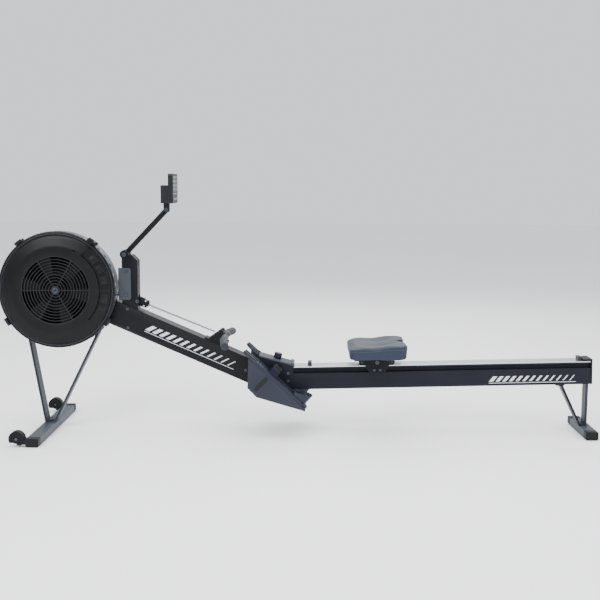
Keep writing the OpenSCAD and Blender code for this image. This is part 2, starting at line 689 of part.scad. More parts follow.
module rail_end_cap() color("#3c4148") at(rail_end, rail_z(rail_end), -rail_slope) difference() {
    union() {
        translate([0.2, -rail_y - 1, -rail_body_h / 2 - 1])
            cube([8, 2 * rail_y + 2, rail_body_h + track_t + 2]);
        translate([-30, -rail_y - 1, rail_body_h / 2 + track_t]) cube([38.2, 2 * rail_y + 2, 9]);
    }
}
stop_front_x = 40;
module seat_stops() color("#232429") {
    on_rail(stop_front_x, rail_body_h / 2 + track_t) translate([0, -20, 0]) cube([16, 40, 16]);
    on_rail(rail_end - 48, rail_body_h / 2 + track_t) translate([0, -20, 0]) cube([16, 40, 16]);
}

/* rear stand */
rear_x = rail_end - 11.5;
rear_bar_top = 33;
strut_x = rear_x - 103.4;
function rail_low(x) = rail_z(x) - rail_body_h / 2 / cos(rail_slope);
module rear_leg() color("#5a6068") difference() {
    slab(-strap_w / 2, strap_w / 2) {
        polygon([[rear_x - 1, rear_bar_top], [rear_x + 9, rear_bar_top],
                 [rear_x + 9, rail_low(rear_x + 9)], [rear_x - 1, rail_low(rear_x - 1)]]);
        polygon([[strut_x - 22, rail_low(strut_x - 22)], [strut_x - 22, rail_low(strut_x - 22) - 8],
                 [strut_x + 14, rail_low(strut_x) - 8], [strut_x + 14, rail_low(strut_x + 14)]]);
        polygon([[strut_x - 5, rail_low(strut_x) - 4], [strut_x + 6, rail_low(strut_x) - 4],
                 [rear_x - 14, rear_bar_top], [rear_x - 23, rear_bar_top]]);
        translate([rear_x - 24, rear_bar_top]) square([33, 6]);
    }
    for (x = [strut_x - 12, rear_x - 8]) translate([x, 0, 0]) cylinder(r = 3.5, h = 60, $fn = 32);
}
/* seat and carriage: local X runs along the rail from the carriage's centre */
module on_carriage(up) {
    track_top = rail_z(seat_x) + (rail_body_h / 2 + track_t) / cos(rail_slope);
    at(seat_x, track_top, -rail_slope) translate([0, 0, up]) children();
}
plate_in = rail_y + 3;
plate_thick = 4;
base_z = 2 * roller_r + 1.5;
base_len = 200;
base_w = 180;
base_t = 10;
upper_dx = 62;
upper_y = 26;
upper_half = 9;
upper_axle_r = 4;
module seat_base() color("#24272c") on_carriage(base_z) difference() {
    union() {
        slab(-base_w / 2, base_w / 2) polygon([
            [-base_len / 2, base_t], [-base_len / 2, 6], [-base_len / 2 + 8, 0], [base_len / 2 - 8, 0],
            [base_len / 2, 6], [base_len / 2, base_t]]);
        for (dx = [-upper_dx, upper_dx], s = [-1, 1])
            translate([dx - 8, s * (upper_y + upper_half + 1.5) - (s < 0 ? 4 : 0), -base_z + 6])
                cube([16, 4, base_z - 4]);
    }
    for (dx = [-upper_dx, upper_dx]) translate([dx, 0, roller_r - base_z]) bar_y(upper_axle_r, -80, 80, 32);
}
tail_notch_w = 46;
module seat_pad() color("#6e7d8e") on_carriage(base_z + base_t) difference() {
    intersection() {
        slab(-seat_w / 2, seat_w / 2) polygon([
            [-seat_len / 2 + 8, 0], [-seat_len / 2, 10], [-seat_len / 2 + 2, 30], [-seat_len / 2 + 14, 38],
            [-20, 35], [50, 40], [96, 53], [116, 52], [seat_len / 2, 38], [seat_len / 2 - 2, 8],
            [seat_len / 2 - 12, 0]]);
        translate([0, 0, -1]) linear_extrude(80) soft_rect(seat_len, seat_w, 40);
    }
    translate([seat_len / 2 + 6, 0, -1]) cylinder(r = tail_notch_w / 2, h = 90);
}
module carriage_plates() color("#2a2d33") both_sides() on_carriage(0) difference() {
    slab(plate_in, plate_in + plate_thick) polygon([
        [-62, base_z], [-62, base_z - 8], [-30, low_z - rail_body_h / 2 - track_t - 14],
        [30, low_z - rail_body_h / 2 - track_t - 14], [62, base_z - 8], [62, base_z]]);
    for (dx = [-low_dx, low_dx]) translate([dx, 0, low_z - rail_body_h / 2 - track_t])
        bar_y(low_axle_r, 0, 80, 32);
    translate([0, 0, roller_r]) bar_y(5, 0, 80, 32);
}
low_dx = 12;
low_axle_r = 3;
low_up = low_z - rail_body_h / 2 - track_t;
upper_reach = upper_y + upper_half + 5.5;
module carriage_axles() color("#c3c8cd") on_carriage(0) {
    for (dx = [-upper_dx, upper_dx]) translate([dx, 0, roller_r])
        bar_y(upper_axle_r, -upper_reach, upper_reach, 32);
    for (dx = [-low_dx, low_dx]) translate([dx, 0, low_up]) both_sides() {
        bar_y(low_axle_r, plate_in - groove_d - 1, plate_in + plate_thick, 32);
        translate([0, plate_in + plate_thick, 0]) bar_y(5.5, 0, 3, 6);
    }
    // the tie bar between the side plates
    translate([0, 0, roller_r]) {
        bar_y(5, -plate_in - plate_thick, plate_in + plate_thick, 32);
        both_sides() translate([0, plate_in + plate_thick, 0]) bar_y(9, 0, 5, 6);
    }
}
module upper_rollers(dx) on_carriage(roller_r) both_sides() translate([dx, upper_y, 0]) difference() {
    bar_y(roller_r - 0.1, -upper_half, upper_half);
    bar_y(upper_axle_r + fit, -20, 20, 32);
}
module lower_rollers(dx) on_carriage(low_up) both_sides() translate([dx, rail_y - groove_d / 2, 0])
    difference() {
        bar_y(low_roller_r, -groove_d / 2 + 1, groove_d / 2 - 0.5, 48);
        bar_y(low_axle_r + fit, -20, 20, 32);
    }
module upper_rollers_front() color("#34373d") upper_rollers(-upper_dx);
module upper_rollers_rear() color("#34373d") upper_rollers(upper_dx);
module lower_rollers_front() color("#34373d") lower_rollers(-low_dx);
module lower_rollers_rear() color("#34373d") lower_rollers(low_dx);

/* fasteners */
module side_bolt(x, z, y0, y1, head_r) both_sides() translate([x, 0, z]) {
    bar_y(4, y0, y1, 32);
    translate([0, y1, 0]) bar_y(head_r, 0, 3, 6);
}
beam_screws = [[-705, 515], [-704, 437.5], [-218.5, 262.5]];
module frame_bolts() color("#b4b9be") {
    // beam screws, adapter plate bolts, socket bolts and foot box bolts
    for (p = beam_screws) translate([p[0], -beam_y, p[1]]) bar_y(6, -3, 0, 32);
    for (z = [adapter_bolt_low, adapter_bolt_high]) translate([adapter_bolt_x, -mast_y - 6, z]) {
        bar_y(7, -4, 0, 6);
        bar_y(4, 0, 6 + mast_wall, 32);
    }
    for (p = rail_bolts) side_bolt(p[0], p[1], cheek_in, cheek_out, 6.5);
    for (p = box_bolts) side_bolt(p[0], p[1], cheek_in, foot_in, 6.5);
    // the monitor arm's bolt, and the stub pins of the chain guide
    at(ear_x, ear_z) {
        bar_y(pin_r, -mast_y - 4, mast_y + 4);
        for (y = [-mast_y - 4, mast_y]) translate([0, y, 0]) bar_y(10, 0, 4, 6);
    }
    at(guide_x, guide_z) both_sides() {
        bar_y(pin_r, guide_half - guide_plate, mast_y + 3);
        translate([0, mast_y, 0]) bar_y(8, 0, 3, 6);
    }
}

main_beam();
frame_arm();
mast();
adapter_plate();
front_leg();
crossbars();
end_caps();
wheel_left();
wheel_right();
wheel_axles();
fan_band();
near_cover();
intake_grille();
hub_cap();
far_cover();
cover_clips();
fan_wheel();
fan_shaft();
bearings();
sprocket();
chain_guide();
guide_pads();
inner_chain();
pull_chain();
damper_ring();
damper_lever();
monitor_arm();
tilt_bolt();
monitor_back();
monitor_housing();
screen_lens();
button_left();
button_middle();
button_right();
handle_bar();
handle_grips();
chain_clevis();
handle_hook();
foot_boxes();
foot_boards();
heel_cup_left();
heel_cup_right();
foot_straps();
rail();
rail_track();
rail_socket();
socket_cover();
lock_knob();
rail_end_cap();
seat_stops();
rear_leg();
seat_pad();
seat_base();
carriage_plates();
carriage_axles();
upper_rollers_front();
upper_rollers_rear();
lower_rollers_front();
lower_rollers_rear();
frame_bolts();
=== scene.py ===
import json
import math

import bmesh
import bpy
from bpy.props import FloatProperty, FloatVectorProperty, IntProperty, PointerProperty
from mathutils import Matrix, Vector
from mathutils.bvhtree import BVHTree

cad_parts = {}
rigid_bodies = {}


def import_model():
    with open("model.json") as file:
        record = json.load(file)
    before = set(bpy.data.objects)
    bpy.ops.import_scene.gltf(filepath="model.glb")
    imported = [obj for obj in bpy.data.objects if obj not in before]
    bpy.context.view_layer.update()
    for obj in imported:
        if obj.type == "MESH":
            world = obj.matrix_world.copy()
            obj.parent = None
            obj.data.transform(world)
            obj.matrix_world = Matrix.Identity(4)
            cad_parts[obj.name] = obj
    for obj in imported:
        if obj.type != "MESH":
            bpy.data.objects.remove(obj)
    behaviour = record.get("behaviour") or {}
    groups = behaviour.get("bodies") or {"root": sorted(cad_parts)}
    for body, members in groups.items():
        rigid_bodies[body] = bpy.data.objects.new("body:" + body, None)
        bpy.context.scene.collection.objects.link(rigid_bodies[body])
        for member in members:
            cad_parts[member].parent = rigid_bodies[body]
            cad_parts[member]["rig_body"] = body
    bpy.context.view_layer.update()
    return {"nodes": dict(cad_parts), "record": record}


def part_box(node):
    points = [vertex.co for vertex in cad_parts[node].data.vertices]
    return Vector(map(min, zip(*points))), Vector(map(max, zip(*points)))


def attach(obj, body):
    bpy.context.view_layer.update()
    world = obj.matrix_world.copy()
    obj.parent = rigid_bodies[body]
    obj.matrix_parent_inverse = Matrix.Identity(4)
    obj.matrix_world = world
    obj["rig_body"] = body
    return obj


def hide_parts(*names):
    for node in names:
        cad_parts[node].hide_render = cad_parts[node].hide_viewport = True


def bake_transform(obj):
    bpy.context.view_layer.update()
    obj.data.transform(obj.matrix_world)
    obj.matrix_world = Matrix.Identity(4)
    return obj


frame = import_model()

bl_info = {
    "name": "Rowing machine",
    "version": (1, 0, 0),
    "blender": (4, 5, 0),
    "location": "3D View > Sidebar > Rower",
    "description": "Builds the looks of an air rowing machine round its CAD frame",
    "category": "Add Mesh",
}

X, Y, Z = Vector((1, 0, 0)), Vector((0, 1, 0)), Vector((0, 0, 1))


# places taken from the frame

def low(node):
    return Vector(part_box(node)[0])


def high(node):
    return Vector(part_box(node)[1])


def middle(node):
    return (low(node) + high(node)) / 2


def size(node):
    return high(node) - low(node)


def joint(name):
    return next(j for j in frame["record"]["behaviour"]["joints"] if j["name"] == name)


def joint_place(name):
    return Vector(joint(name)["pos_m"])


HUB = joint_place("fan_spin")
RAIL = Vector(joint("seat_slide")["axis"])
BOARD = Vector(joint("heel_cup_left_slide")["axis"])
RAIL_UP = Vector((-RAIL.z, 0, RAIL.x))
BOARD_UP = Vector((-BOARD.z, 0, BOARD.x))
EDGE_SLOPE = math.radians(23.3)
EDGE_DOWN = Vector((math.cos(EDGE_SLOPE), 0, -math.sin(EDGE_SLOPE)))
TOE = Vector((low("foot_boards").x + 0.0227 * BOARD_UP.x, 0, high("foot_boards").z + 0.010 * BOARD_UP.z))


GRIP = 0.016
FOOT_WIDTH = 0.084


def cross_bar():
    """Where the handle's cross bar runs."""
    return Vector((low("handle_grips").x + GRIP, 0, high("handle_grips").z - GRIP))


# modelling helpers

def fresh():
    """Leaves nothing selected and no piece in edit mode."""
    if bpy.context.object and bpy.context.object.mode != "OBJECT":
        bpy.ops.object.mode_set(mode="OBJECT")
    bpy.ops.object.select_all(action="DESELECT")


def named(name):
    piece = bpy.context.object
    piece.name = name
    piece.data.name = name
    return piece


def only(piece):
    fresh()
    piece.select_set(True)
    bpy.context.view_layer.objects.active = piece


def settle(piece):
    """Puts the piece's place, turn and size into its mesh."""
    only(piece)
    bpy.ops.object.transform_apply(location=True, rotation=True, scale=True)
    return piece


def edit(piece):
    """Opens a piece in edit mode with everything selected."""
    only(piece)
    bpy.ops.object.mode_set(mode="EDIT")
    bpy.ops.mesh.select_mode(type="VERT")
    bpy.ops.mesh.select_all(action="SELECT")


def extrude(by):
    bpy.ops.mesh.extrude_region_move(TRANSFORM_OT_translate={"value": Vector(by)})


def done():
    bpy.ops.object.mode_set(mode="OBJECT")


def outward(piece, merge=0.00001):
    """Merges doubled points and turns every face outwards."""
    edit(piece)
    bpy.ops.mesh.remove_doubles(threshold=merge)
    bpy.ops.mesh.normals_make_consistent(inside=False)
    done()
    return piece


def modify(piece, kind, **values):
    """Adds a modifier, sets it and applies it."""
    only(piece)
    modifier = piece.modifiers.new(kind.title(), kind)
    for key, value in values.items():
        setattr(modifier, key, value)
    bpy.ops.object.modifier_apply(modifier=modifier.name)
    return piece


def bevel(piece, width, segments=2, angle=35):
    return modify(piece, "BEVEL", width=width, segments=segments, limit_method="ANGLE",
                  angle_limit=math.radians(angle), harden_normals=False)


def smooth(piece, angle=35):
    only(piece)
    bpy.ops.object.shade_smooth_by_angle(angle=math.radians(angle))
    return piece


def block(name, lowest, highest):
    """A box from its lowest to its highest corner."""
    fresh()
    lowest, highest = Vector(lowest), Vector(highest)
    bpy.ops.mesh.primitive_cube_add(size=1, location=(lowest + highest) / 2)
    piece = named(name)
    piece.scale = highest - lowest
    return settle(piece)


def rod(name, start, end, radius, sides=32):
    """A round bar between two points."""
    fresh()
    start, end = Vector(start), Vector(end)
    run = end - start
    bpy.ops.mesh.primitive_cylinder_add(vertices=sides, radius=radius, depth=run.length,
                                        location=(start + end) / 2,
                                        rotation=run.to_track_quat("Z", "Y").to_euler())
    return settle(named(name))


def path(name, points):
    """An open line of edges, drawn by extruding a single point."""
    fresh()
    bpy.ops.mesh.primitive_plane_add(size=0.001, location=(0, 0, 0))
    piece = named(name)
    edit(piece)
    bpy.ops.mesh.merge(type="CENTER")
    bpy.ops.transform.translate(value=Vector(points[0]))
    for before, after in zip(points, points[1:]):
        extrude(Vector(after) - Vector(before))
    done()
    return piece


def outline(name, points, depth):
    """A flat outline filled and pushed out along a vector."""
    piece = path(name, list(points) + [points[0]])
    edit(piece)
    bpy.ops.mesh.remove_doubles(threshold=0.000001)
    bpy.ops.mesh.edge_face_add()
    extrude(depth)
    done()
    return outward(piece)


def spun(name, points, centre, steps=96):
    """A closed profile turned once round an axle that runs across the machine."""
    piece = path(name, list(points) + [points[0]])
    edit(piece)
    bpy.ops.mesh.spin(steps=steps, angle=2 * math.pi, center=centre, axis=Y)
    done()
    return outward(piece)


def eased(points, count):
    """A smooth line through the given points."""
    points = [Vector(p) for p in points]
    line = []
    for i in range(count):
        t = i / (count - 1) * (len(points) - 1)
        k = min(int(t), len(points) - 2)
        t -= k
        p0, p1, p2 = points[max(k - 1, 0)], points[k], points[k + 1]
        p3 = points[min(k + 2, len(points) - 1)]
        line.append(0.5 * (2 * p1 + (p2 - p0) * t + (2 * p0 - 5 * p1 + 4 * p2 - p3) * t * t
                           + (3 * p1 - p0 - 3 * p2 + p3) * t ** 3))
    return line


def tube(name, points, radius, radii=None, sides=6):
    """A round bar along a line; radii scales its radius at each point."""
    piece = path(name, points)
    only(piece)
    bpy.ops.object.convert(target="CURVE")
    curve = bpy.context.object.data
    curve.bevel_depth = radius
    curve.bevel_resolution = sides
    curve.use_fill_caps = True
    if radii:
        spline = curve.splines[0]
        first = Vector(spline.points[0].co[:3])
        forwards = (first - Vector(points[0])).length < (first - Vector(points[-1])).length
        order = radii if forwards else radii[::-1]
        for point, share in zip(spline.points, order):
            point.radius = share
    bpy.ops.object.convert(target="MESH")
    return outward(named(name))


def softened(node, width, segments=2):
    """A merged copy of a CAD part with its hard edges rounded."""
    fresh()
    mesh = frame["nodes"][node].data.copy()
    piece = bpy.data.objects.new(node + "_shape", mesh)
    piece.data.name = piece.name
    bpy.context.collection.objects.link(piece)
    edit(piece)
    bpy.ops.mesh.remove_doubles(threshold=0.00002)
    if node not in SPUN_NODES:
        bpy.ops.mesh.dissolve_limited(angle_limit=math.radians(0.8))
    done()
    if node not in SPUN_NODES:
        bevel(piece, width, segments, 32)
    smooth(piece, 32)
    return modify(piece, "WEIGHTED_NORMAL", keep_sharp=True, weight=60)


def islands(node):
    """The lowest and highest corner of each separate solid in a CAD part."""
    mesh = bmesh.new()
    mesh.from_mesh(frame["nodes"][node].data)
    bmesh.ops.remove_doubles(mesh, verts=mesh.verts, dist=0.00002)
    left, found = set(mesh.verts), []
    while left:
        group, front = [], [left.pop()]
        while front:
            vert = front.pop()
            group.append(vert.co.copy())
            for edge in vert.link_edges:
                other = edge.other_vert(vert)
                if other in left:
                    left.remove(other)
                    front.append(other)
        found.append((Vector([min(p[i] for p in group) for i in range(3)]),
                      Vector([max(p[i] for p in group) for i in range(3)])))
    mesh.free()
    return sorted(found, key=lambda box: tuple(box[0]))


def board_point(down, across, up):
    """A place on a foot board: down its slope, across the machine, square to its face."""
    return TOE + BOARD * down + Y * across + BOARD_UP * up


def copy_of(piece, name):
    twin = piece.copy()
    twin.data = piece.data.copy()
    twin.name = twin.data.name = name
    bpy.context.collection.objects.link(twin)
    return twin


def mirrored(piece, name):
    """A copy on the other side of the centre plane."""
    twin = copy_of(piece, name)
    twin.scale = (1, -1, 1)
    settle(twin)
    return outward(twin)


def joined(name, pieces):
    fresh()
    for piece in pieces:
        piece.select_set(True)
    bpy.context.view_layer.objects.active = pieces[0]
    if len(pieces) > 1:
        bpy.ops.object.join()
    return named(name)


def polar(centre, radius, degrees, depth=0.0):
    """A point round the fan's axle: the angle from +X towards +Z, the depth along +Y."""
    turn = math.radians(degrees)
    return Vector((centre.x + radius * math.cos(turn), depth, centre.z + radius * math.sin(turn)))


def arc(centre, radius, start, end, count, depth=0.0):
    return [polar(centre, radius, start + (end - start) * i / (count - 1), depth) for i in range(count)]


# materials

def tone(red, green, blue):
    """A colour given as it looks on a screen, 0 to 255, turned into the shader's linear scale."""
    return tuple(((c / 255 + 0.055) / 1.055) ** 2.4 for c in (red, green, blue))


def shader_node(tree, kind, **values):
    """Adds a shader node and sets its sockets by name."""
    added = tree.nodes.new("ShaderNode" + kind)
    for socket, value in values.items():
        added.inputs[socket].default_value = value
    return added


def surface(name, colour, roughness, metallic=0.0, gloss=0.3, grain=0.0, grain_scale=400.0, wear=0.0,
            stretch=(1, 1, 1), coat=0.0, sheen=0.0, mottle=0.08, mottle_scale=14.0, bump=0.1,
            rough_spread=0.08):
    """A procedural finish: mottled colour, fine grain in colour, roughness and bump, and paler worn edges."""
    finish = bpy.data.materials.new(name)
    finish.use_nodes = True
    tree = finish.node_tree
    nodes, links = tree.nodes, tree.links
    shader = nodes["Principled BSDF"]
    for socket, value in (("Metallic", metallic), ("Specular IOR Level", gloss), ("Coat Weight", coat),
                          ("Coat Roughness", 0.15), ("Sheen Weight", sheen)):
        shader.inputs[socket].default_value = value
    mapping = shader_node(tree, "Mapping", Scale=stretch)
    links.new(shader_node(tree, "TexCoord").outputs["Object"], mapping.inputs["Vector"])
    broad = shader_node(tree, "TexNoise", Scale=mottle_scale, Detail=5)
    fine = shader_node(tree, "TexNoise", Scale=grain_scale, Detail=3)
    for noise in (broad, fine):
        links.new(mapping.outputs["Vector"], noise.inputs["Vector"])
    ramp = nodes.new("ShaderNodeValToRGB")
    dark, light = ramp.color_ramp.elements
    dark.position, light.position = 0.32, 0.68
    dark.color = [c * (1 - mottle) for c in colour] + [1]
    light.color = [min(1, c * (1 + mottle) + mottle * 0.01) for c in colour] + [1]
    links.new(broad.outputs["Fac"], ramp.inputs["Fac"])
    mix = nodes.new("ShaderNodeMix")
    mix.data_type = "RGBA"
    mix.blend_type = "OVERLAY"
    mix.inputs["Factor"].default_value = grain
    links.new(ramp.outputs["Color"], mix.inputs["A"])
    links.new(fine.outputs["Color"], mix.inputs["B"])
    colour_out = mix.outputs["Result"]
    if wear:
        geometry = nodes.new("ShaderNodeNewGeometry")
        edge = nodes.new("ShaderNodeMapRange")
        edge.inputs["From Min"].default_value = 0.53
        edge.inputs["From Max"].default_value = 0.62
        edge.inputs["To Max"].default_value = wear
        links.new(geometry.outputs["Pointiness"], edge.inputs["Value"])
        worn = nodes.new("ShaderNodeMix")
        worn.data_type = "RGBA"
        worn.inputs["B"].default_value = [min(1, c * 2.5 + 0.08) for c in colour] + [1]
        links.new(edge.outputs["Result"], worn.inputs["Factor"])
        links.new(colour_out, worn.inputs["A"])
        colour_out = worn.outputs["Result"]
    links.new(colour_out, shader.inputs["Base Color"])
    spread = nodes.new("ShaderNodeMapRange")
    spread.inputs["To Min"].default_value = max(0.02, roughness - rough_spread)
    spread.inputs["To Max"].default_value = min(1, roughness + rough_spread)
    links.new(fine.outputs["Fac"], spread.inputs["Value"])
    links.new(spread.outputs["Result"], shader.inputs["Roughness"])
    relief = shader_node(tree, "Bump", Strength=bump, Distance=0.0006)
    links.new(fine.outputs["Fac"], relief.inputs["Height"])
    links.new(relief.outputs["Normal"], shader.inputs["Normal"])
    return finish


def powder_coat(name, colour, roughness=0.42):
    """Sprayed paint on steel: a fine orange peel, slightly glossy, paler at its edges."""
    return surface(name, colour, roughness, grain=0.10, grain_scale=900, wear=0.2, gloss=0.12, bump=0.16,
                   mottle=0.07)


def moulded(name, colour, roughness=0.5, gloss=0.22):
    """Moulded plastic with a fine stipple."""
    return surface(name, colour, roughness, gloss=gloss, grain=0.12, grain_scale=1400, wear=0.15, bump=0.28,
                   mottle=0.10, mottle_scale=9)


def brushed(name, colour, roughness=0.28, along=(1, 1, 1)):
    """Bare metal with fine lines along one direction."""
    return surface(name, colour, roughness, metallic=1.0, grain=0.18, grain_scale=260, stretch=along,
                   bump=0.06, mottle=0.05, rough_spread=0.1)


def rubber(name, colour, roughness=0.72):
    return surface(name, colour, roughness, grain=0.15, grain_scale=700, bump=0.3, mottle=0.12, sheen=0.1)


def perforated(name, colour):
    """A metal band round the fan with rows of small punched holes, shown as near-black dots: painted shade
    where the band lets onto the dark inside.
    """
    wish = bpy.context.scene.rower_frame
    finish = surface(name, colour, 0.42, metallic=0.35, grain=0.1, grain_scale=700, bump=0.06)
    tree = finish.node_tree
    nodes, links = tree.nodes, tree.links

    def maths(operation, first, second=None, third=None):
        node = nodes.new("ShaderNodeMath")
        node.operation = operation
        for socket, value in zip(node.inputs, (first, second, third)):
            if hasattr(value, "is_output"):
                links.new(value, socket)
            elif value is not None:
                socket.default_value = value
        return node.outputs["Value"]

    split = nodes.new("ShaderNodeSeparateXYZ")
    links.new(nodes["Texture Coordinate"].outputs["Object"], split.inputs["Vector"])
    across = maths("SUBTRACT", split.outputs["X"], HUB.x)
    upward = maths("SUBTRACT", split.outputs["Z"], HUB.z)
    column = maths("MULTIPLY", maths("ARCTAN2", upward, across), wish.band_columns / (2 * math.pi))
    row = maths("MULTIPLY", split.outputs["Y"], wish.band_rows / size("fan_band").y)
    side_off = maths("SUBTRACT", maths("FRACT", column), 0.5)
    row_off = maths("SUBTRACT", maths("FRACT", row), 0.5)
    away = maths("SQRT", maths("ADD", maths("MULTIPLY", side_off, side_off),
                               maths("MULTIPLY", row_off, row_off)))
    # the holes are painted near-black: painted shade for the dark inside seen through them
    painted_hole_shade = maths("LESS_THAN", away, 0.30)
    old = nodes["Principled BSDF"].inputs["Base Color"].links[0].from_socket
    mix = nodes.new("ShaderNodeMix")
    mix.data_type = "RGBA"
    mix.inputs["B"].default_value = (0.006, 0.006, 0.008, 1)
    links.new(painted_hole_shade, mix.inputs["Factor"])
    links.new(old, mix.inputs["A"])
    links.new(mix.outputs["Result"], nodes["Principled BSDF"].inputs["Base Color"])
    return finish


def seat_skin(name, colour):
    """Moulded integral-skin foam: a pebbled grain of two sizes with a soft sheen."""
    finish = surface(name, colour, 0.58, grain=0.12, grain_scale=520, bump=0.25, mottle=0.05,
                     mottle_scale=7, sheen=0.06, wear=0.10, gloss=0.22)
    nodes, links = finish.node_tree.nodes, finish.node_tree.links
    pebble = shader_node(finish.node_tree, "TexVoronoi", Scale=420)
    links.new(nodes["Mapping"].outputs["Vector"], pebble.inputs["Vector"])
    second = shader_node(finish.node_tree, "Bump", Strength=0.22, Distance=0.0008)
    links.new(pebble.outputs["Distance"], second.inputs["Height"])
    links.new(nodes["Bump"].outputs["Normal"], second.inputs["Normal"])
    links.new(second.outputs["Normal"], nodes["Principled BSDF"].inputs["Normal"])
    return finish


def webbing(name, colour):
    """Woven nylon tape: crossing ribs along and across the strap."""
    finish = surface(name, colour, 0.8, grain=0.3, grain_scale=900, bump=0.2, sheen=0.04, gloss=0.12)
    nodes, links = finish.node_tree.nodes, finish.node_tree.links
    for turn, (direction, scale) in enumerate((("X", 260), ("Y", 340))):
        rib = shader_node(finish.node_tree, "TexWave", Scale=scale)
        rib.bands_direction = direction
        links.new(nodes["Texture Coordinate"].outputs["Object"], rib.inputs["Vector"])
        relief = shader_node(finish.node_tree, "Bump", Strength=0.5, Distance=0.0005)
        links.new(rib.outputs["Fac"], relief.inputs["Height"])
        links.new(nodes["Bump" if turn == 0 else "Bump.001"].outputs["Normal"], relief.inputs["Normal"])
        links.new(relief.outputs["Normal"], nodes["Principled BSDF"].inputs["Normal"])
    return finish


def screen_film(name, colour):
    """A dull liquid-crystal panel behind a thin clear film."""
    return surface(name, colour, 0.3, grain=0.05, coat=0.15, gloss=0.2, bump=0.0, mottle=0.03)


# finish: how it is made, its colour on a screen, and what differs from that way's usual values
FINISHES = {
    "black_frame": (powder_coat, (7, 9, 13), {}),
    "grey_frame": (powder_coat, (50, 57, 66), {}),
    "leg_grey": (powder_coat, (34, 38, 45), {}),
    "plate_grey": (powder_coat, (52, 56, 62), dict(roughness=0.5)),
    "band_mesh": (perforated, (84, 91, 98), {}),
    "cover_plastic": (moulded, (7, 8, 11), dict(roughness=0.36, gloss=0.16)),
    "dark_plastic": (moulded, (9, 10, 14), dict(gloss=0.14)),
    "fan_steel": (brushed, (26, 28, 32), dict(roughness=0.5)),
    "steel": (brushed, (150, 154, 160), dict(roughness=0.32, along=(1, 6, 1))),
    "bolt_steel": (brushed, (70, 74, 80), dict(roughness=0.34)),
    "chain_steel": (brushed, (140, 143, 148), dict(roughness=0.32)),
    "nylon": (moulded, (205, 205, 198), {}),
    "monitor_plastic": (moulded, (16, 18, 23), dict(roughness=0.42)),
    "screen": (screen_film, (84, 94, 92), {}),
    "button_plastic": (moulded, (112, 119, 128), dict(roughness=0.5)),
    "grip_rubber": (rubber, (26, 31, 38), dict(roughness=0.66)),
    "foot_plastic": (moulded, (30, 34, 45), dict(roughness=0.55)),
    "strap_web": (webbing, (20, 22, 38), {}),
    "rail_paint": (powder_coat, (9, 10, 22), dict(roughness=0.4)),
    "track_steel": (brushed, (205, 208, 212), dict(roughness=0.28, along=(0.15, 4, 4))),
    "knob_plastic": (moulded, (20, 20, 38), dict(roughness=0.35)),
    "seat_foam": (seat_skin, None, {}),
    "seat_edge": (rubber, (44, 54, 66), dict(roughness=0.6)),
    # painted shade: dark metal for the flat hexagons that stand in for the recesses of the bolt sockets
    "bolt_dark": (surface, (40, 43, 48), dict(roughness=0.35, metallic=0.8, grain=0.1, bump=0.05)),
    "roller_rubber": (rubber, (40, 42, 46), {}),
    "wheel_rubber": (rubber, (22, 24, 27), {}),
    "white_print": (surface, (196, 199, 204), dict(roughness=0.5, grain=0.05, bump=0.05, mottle=0.03)),
    "screen_print": (surface, (34, 40, 42), dict(roughness=0.4, bump=0.0, mottle=0.02)),
}
made = {}


def material(slot):
    """The finish of a slot, made when it is first asked for."""
    if slot not in made:
        maker, shade, values = FINISHES[slot]
        colour = tone(*shade) if shade else tuple(bpy.context.scene.rower_seat.colour)
        made[slot] = maker(slot, colour, **values)
    return made[slot]


def paint(piece, slot):
    """Gives a piece one finish all over."""
    piece.data.materials.clear()
    piece.data.materials.append(material(slot))
    return piece


def place(piece, body, slot, *instead_of):
    """Paints a finished piece, makes it ride on a body and hides the CAD parts it stands in for."""
    paint(piece, slot)
    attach(piece, body)
    if instead_of:
        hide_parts(*instead_of)
    return piece


# sizes and colours that a user would change

class RowerFrame(bpy.types.PropertyGroup):
    band_columns: IntProperty(name="Band columns", description="Columns of holes round the fan band",
                              default=150, min=60, max=200)
    band_rows: IntProperty(name="Band rows", description="Rows of holes across the fan band", default=9,
                           min=2, max=12)
    chain_pitch: FloatProperty(name="Chain pitch", description="Distance between two chain pins",
                               default=0.0127, min=0.008, max=0.03, unit="LENGTH")
    stripes: IntProperty(name="Stripes", description="Slanted stripes in each group on the near side",
                         default=13, min=3, max=30)
    stripe_height: FloatProperty(name="Stripe height", description="Height of the stripes on the beam",
                                 default=0.027, min=0.01, max=0.05, unit="LENGTH")


class RowerSeat(bpy.types.PropertyGroup):
    colour: FloatVectorProperty(name="Seat colour", description="Colour of the seat's skin", subtype="COLOR",
                                size=3, default=tone(34, 43, 56), min=0, max=1)
    pressure: FloatProperty(name="Pad pressure", description="How far the seat's foam is puffed up",
                            default=2.0)
    voxel: FloatProperty(name="Pad voxel", description="Mesh size of the seat pad before it is puffed up",
                         default=0.005, unit="LENGTH")


class RowerStage(bpy.types.PropertyGroup):
    camera_place: FloatVectorProperty(name="Camera place", description="Where the camera stands",
                                      subtype="XYZ", unit="LENGTH", default=(0.0369, -3.8884, 1.0373))
    camera_down: FloatProperty(name="Camera tilt", description="How far the camera looks down",
                               subtype="ANGLE", default=math.radians(7.1146))
    camera_left: FloatProperty(name="Camera turn", description="How far the camera looks to the left",
                               subtype="ANGLE", default=math.radians(0.4675))
    camera_roll: FloatProperty(name="Camera roll", description="How far the camera leans", subtype="ANGLE",
                               default=math.radians(0.3176))
    lens: FloatProperty(name="Lens", description="Focal length in millimetres", default=56.64)
    floor_colour: FloatVectorProperty(name="Floor colour", description="Colour of the floor", subtype="COLOR",
                                      size=3, default=(0.95, 0.95, 0.96), min=0, max=1)


# pieces

class ROWER_OT_frame_finishes(bpy.types.Operator):
    """Gives every carried-over CAD part its finish"""
    bl_idname = "rower.frame_finishes"
    bl_label = "Frame finishes"

    def execute(self, context):
        for part in frame["record"]["subparts"]:
            node = frame["nodes"][part["node"]]
            node.data.materials.clear()
            node.data.materials.append(material(part["material_slot"]))
        return {"FINISHED"}


SPUN_NODES = ("near_cover", "far_cover")

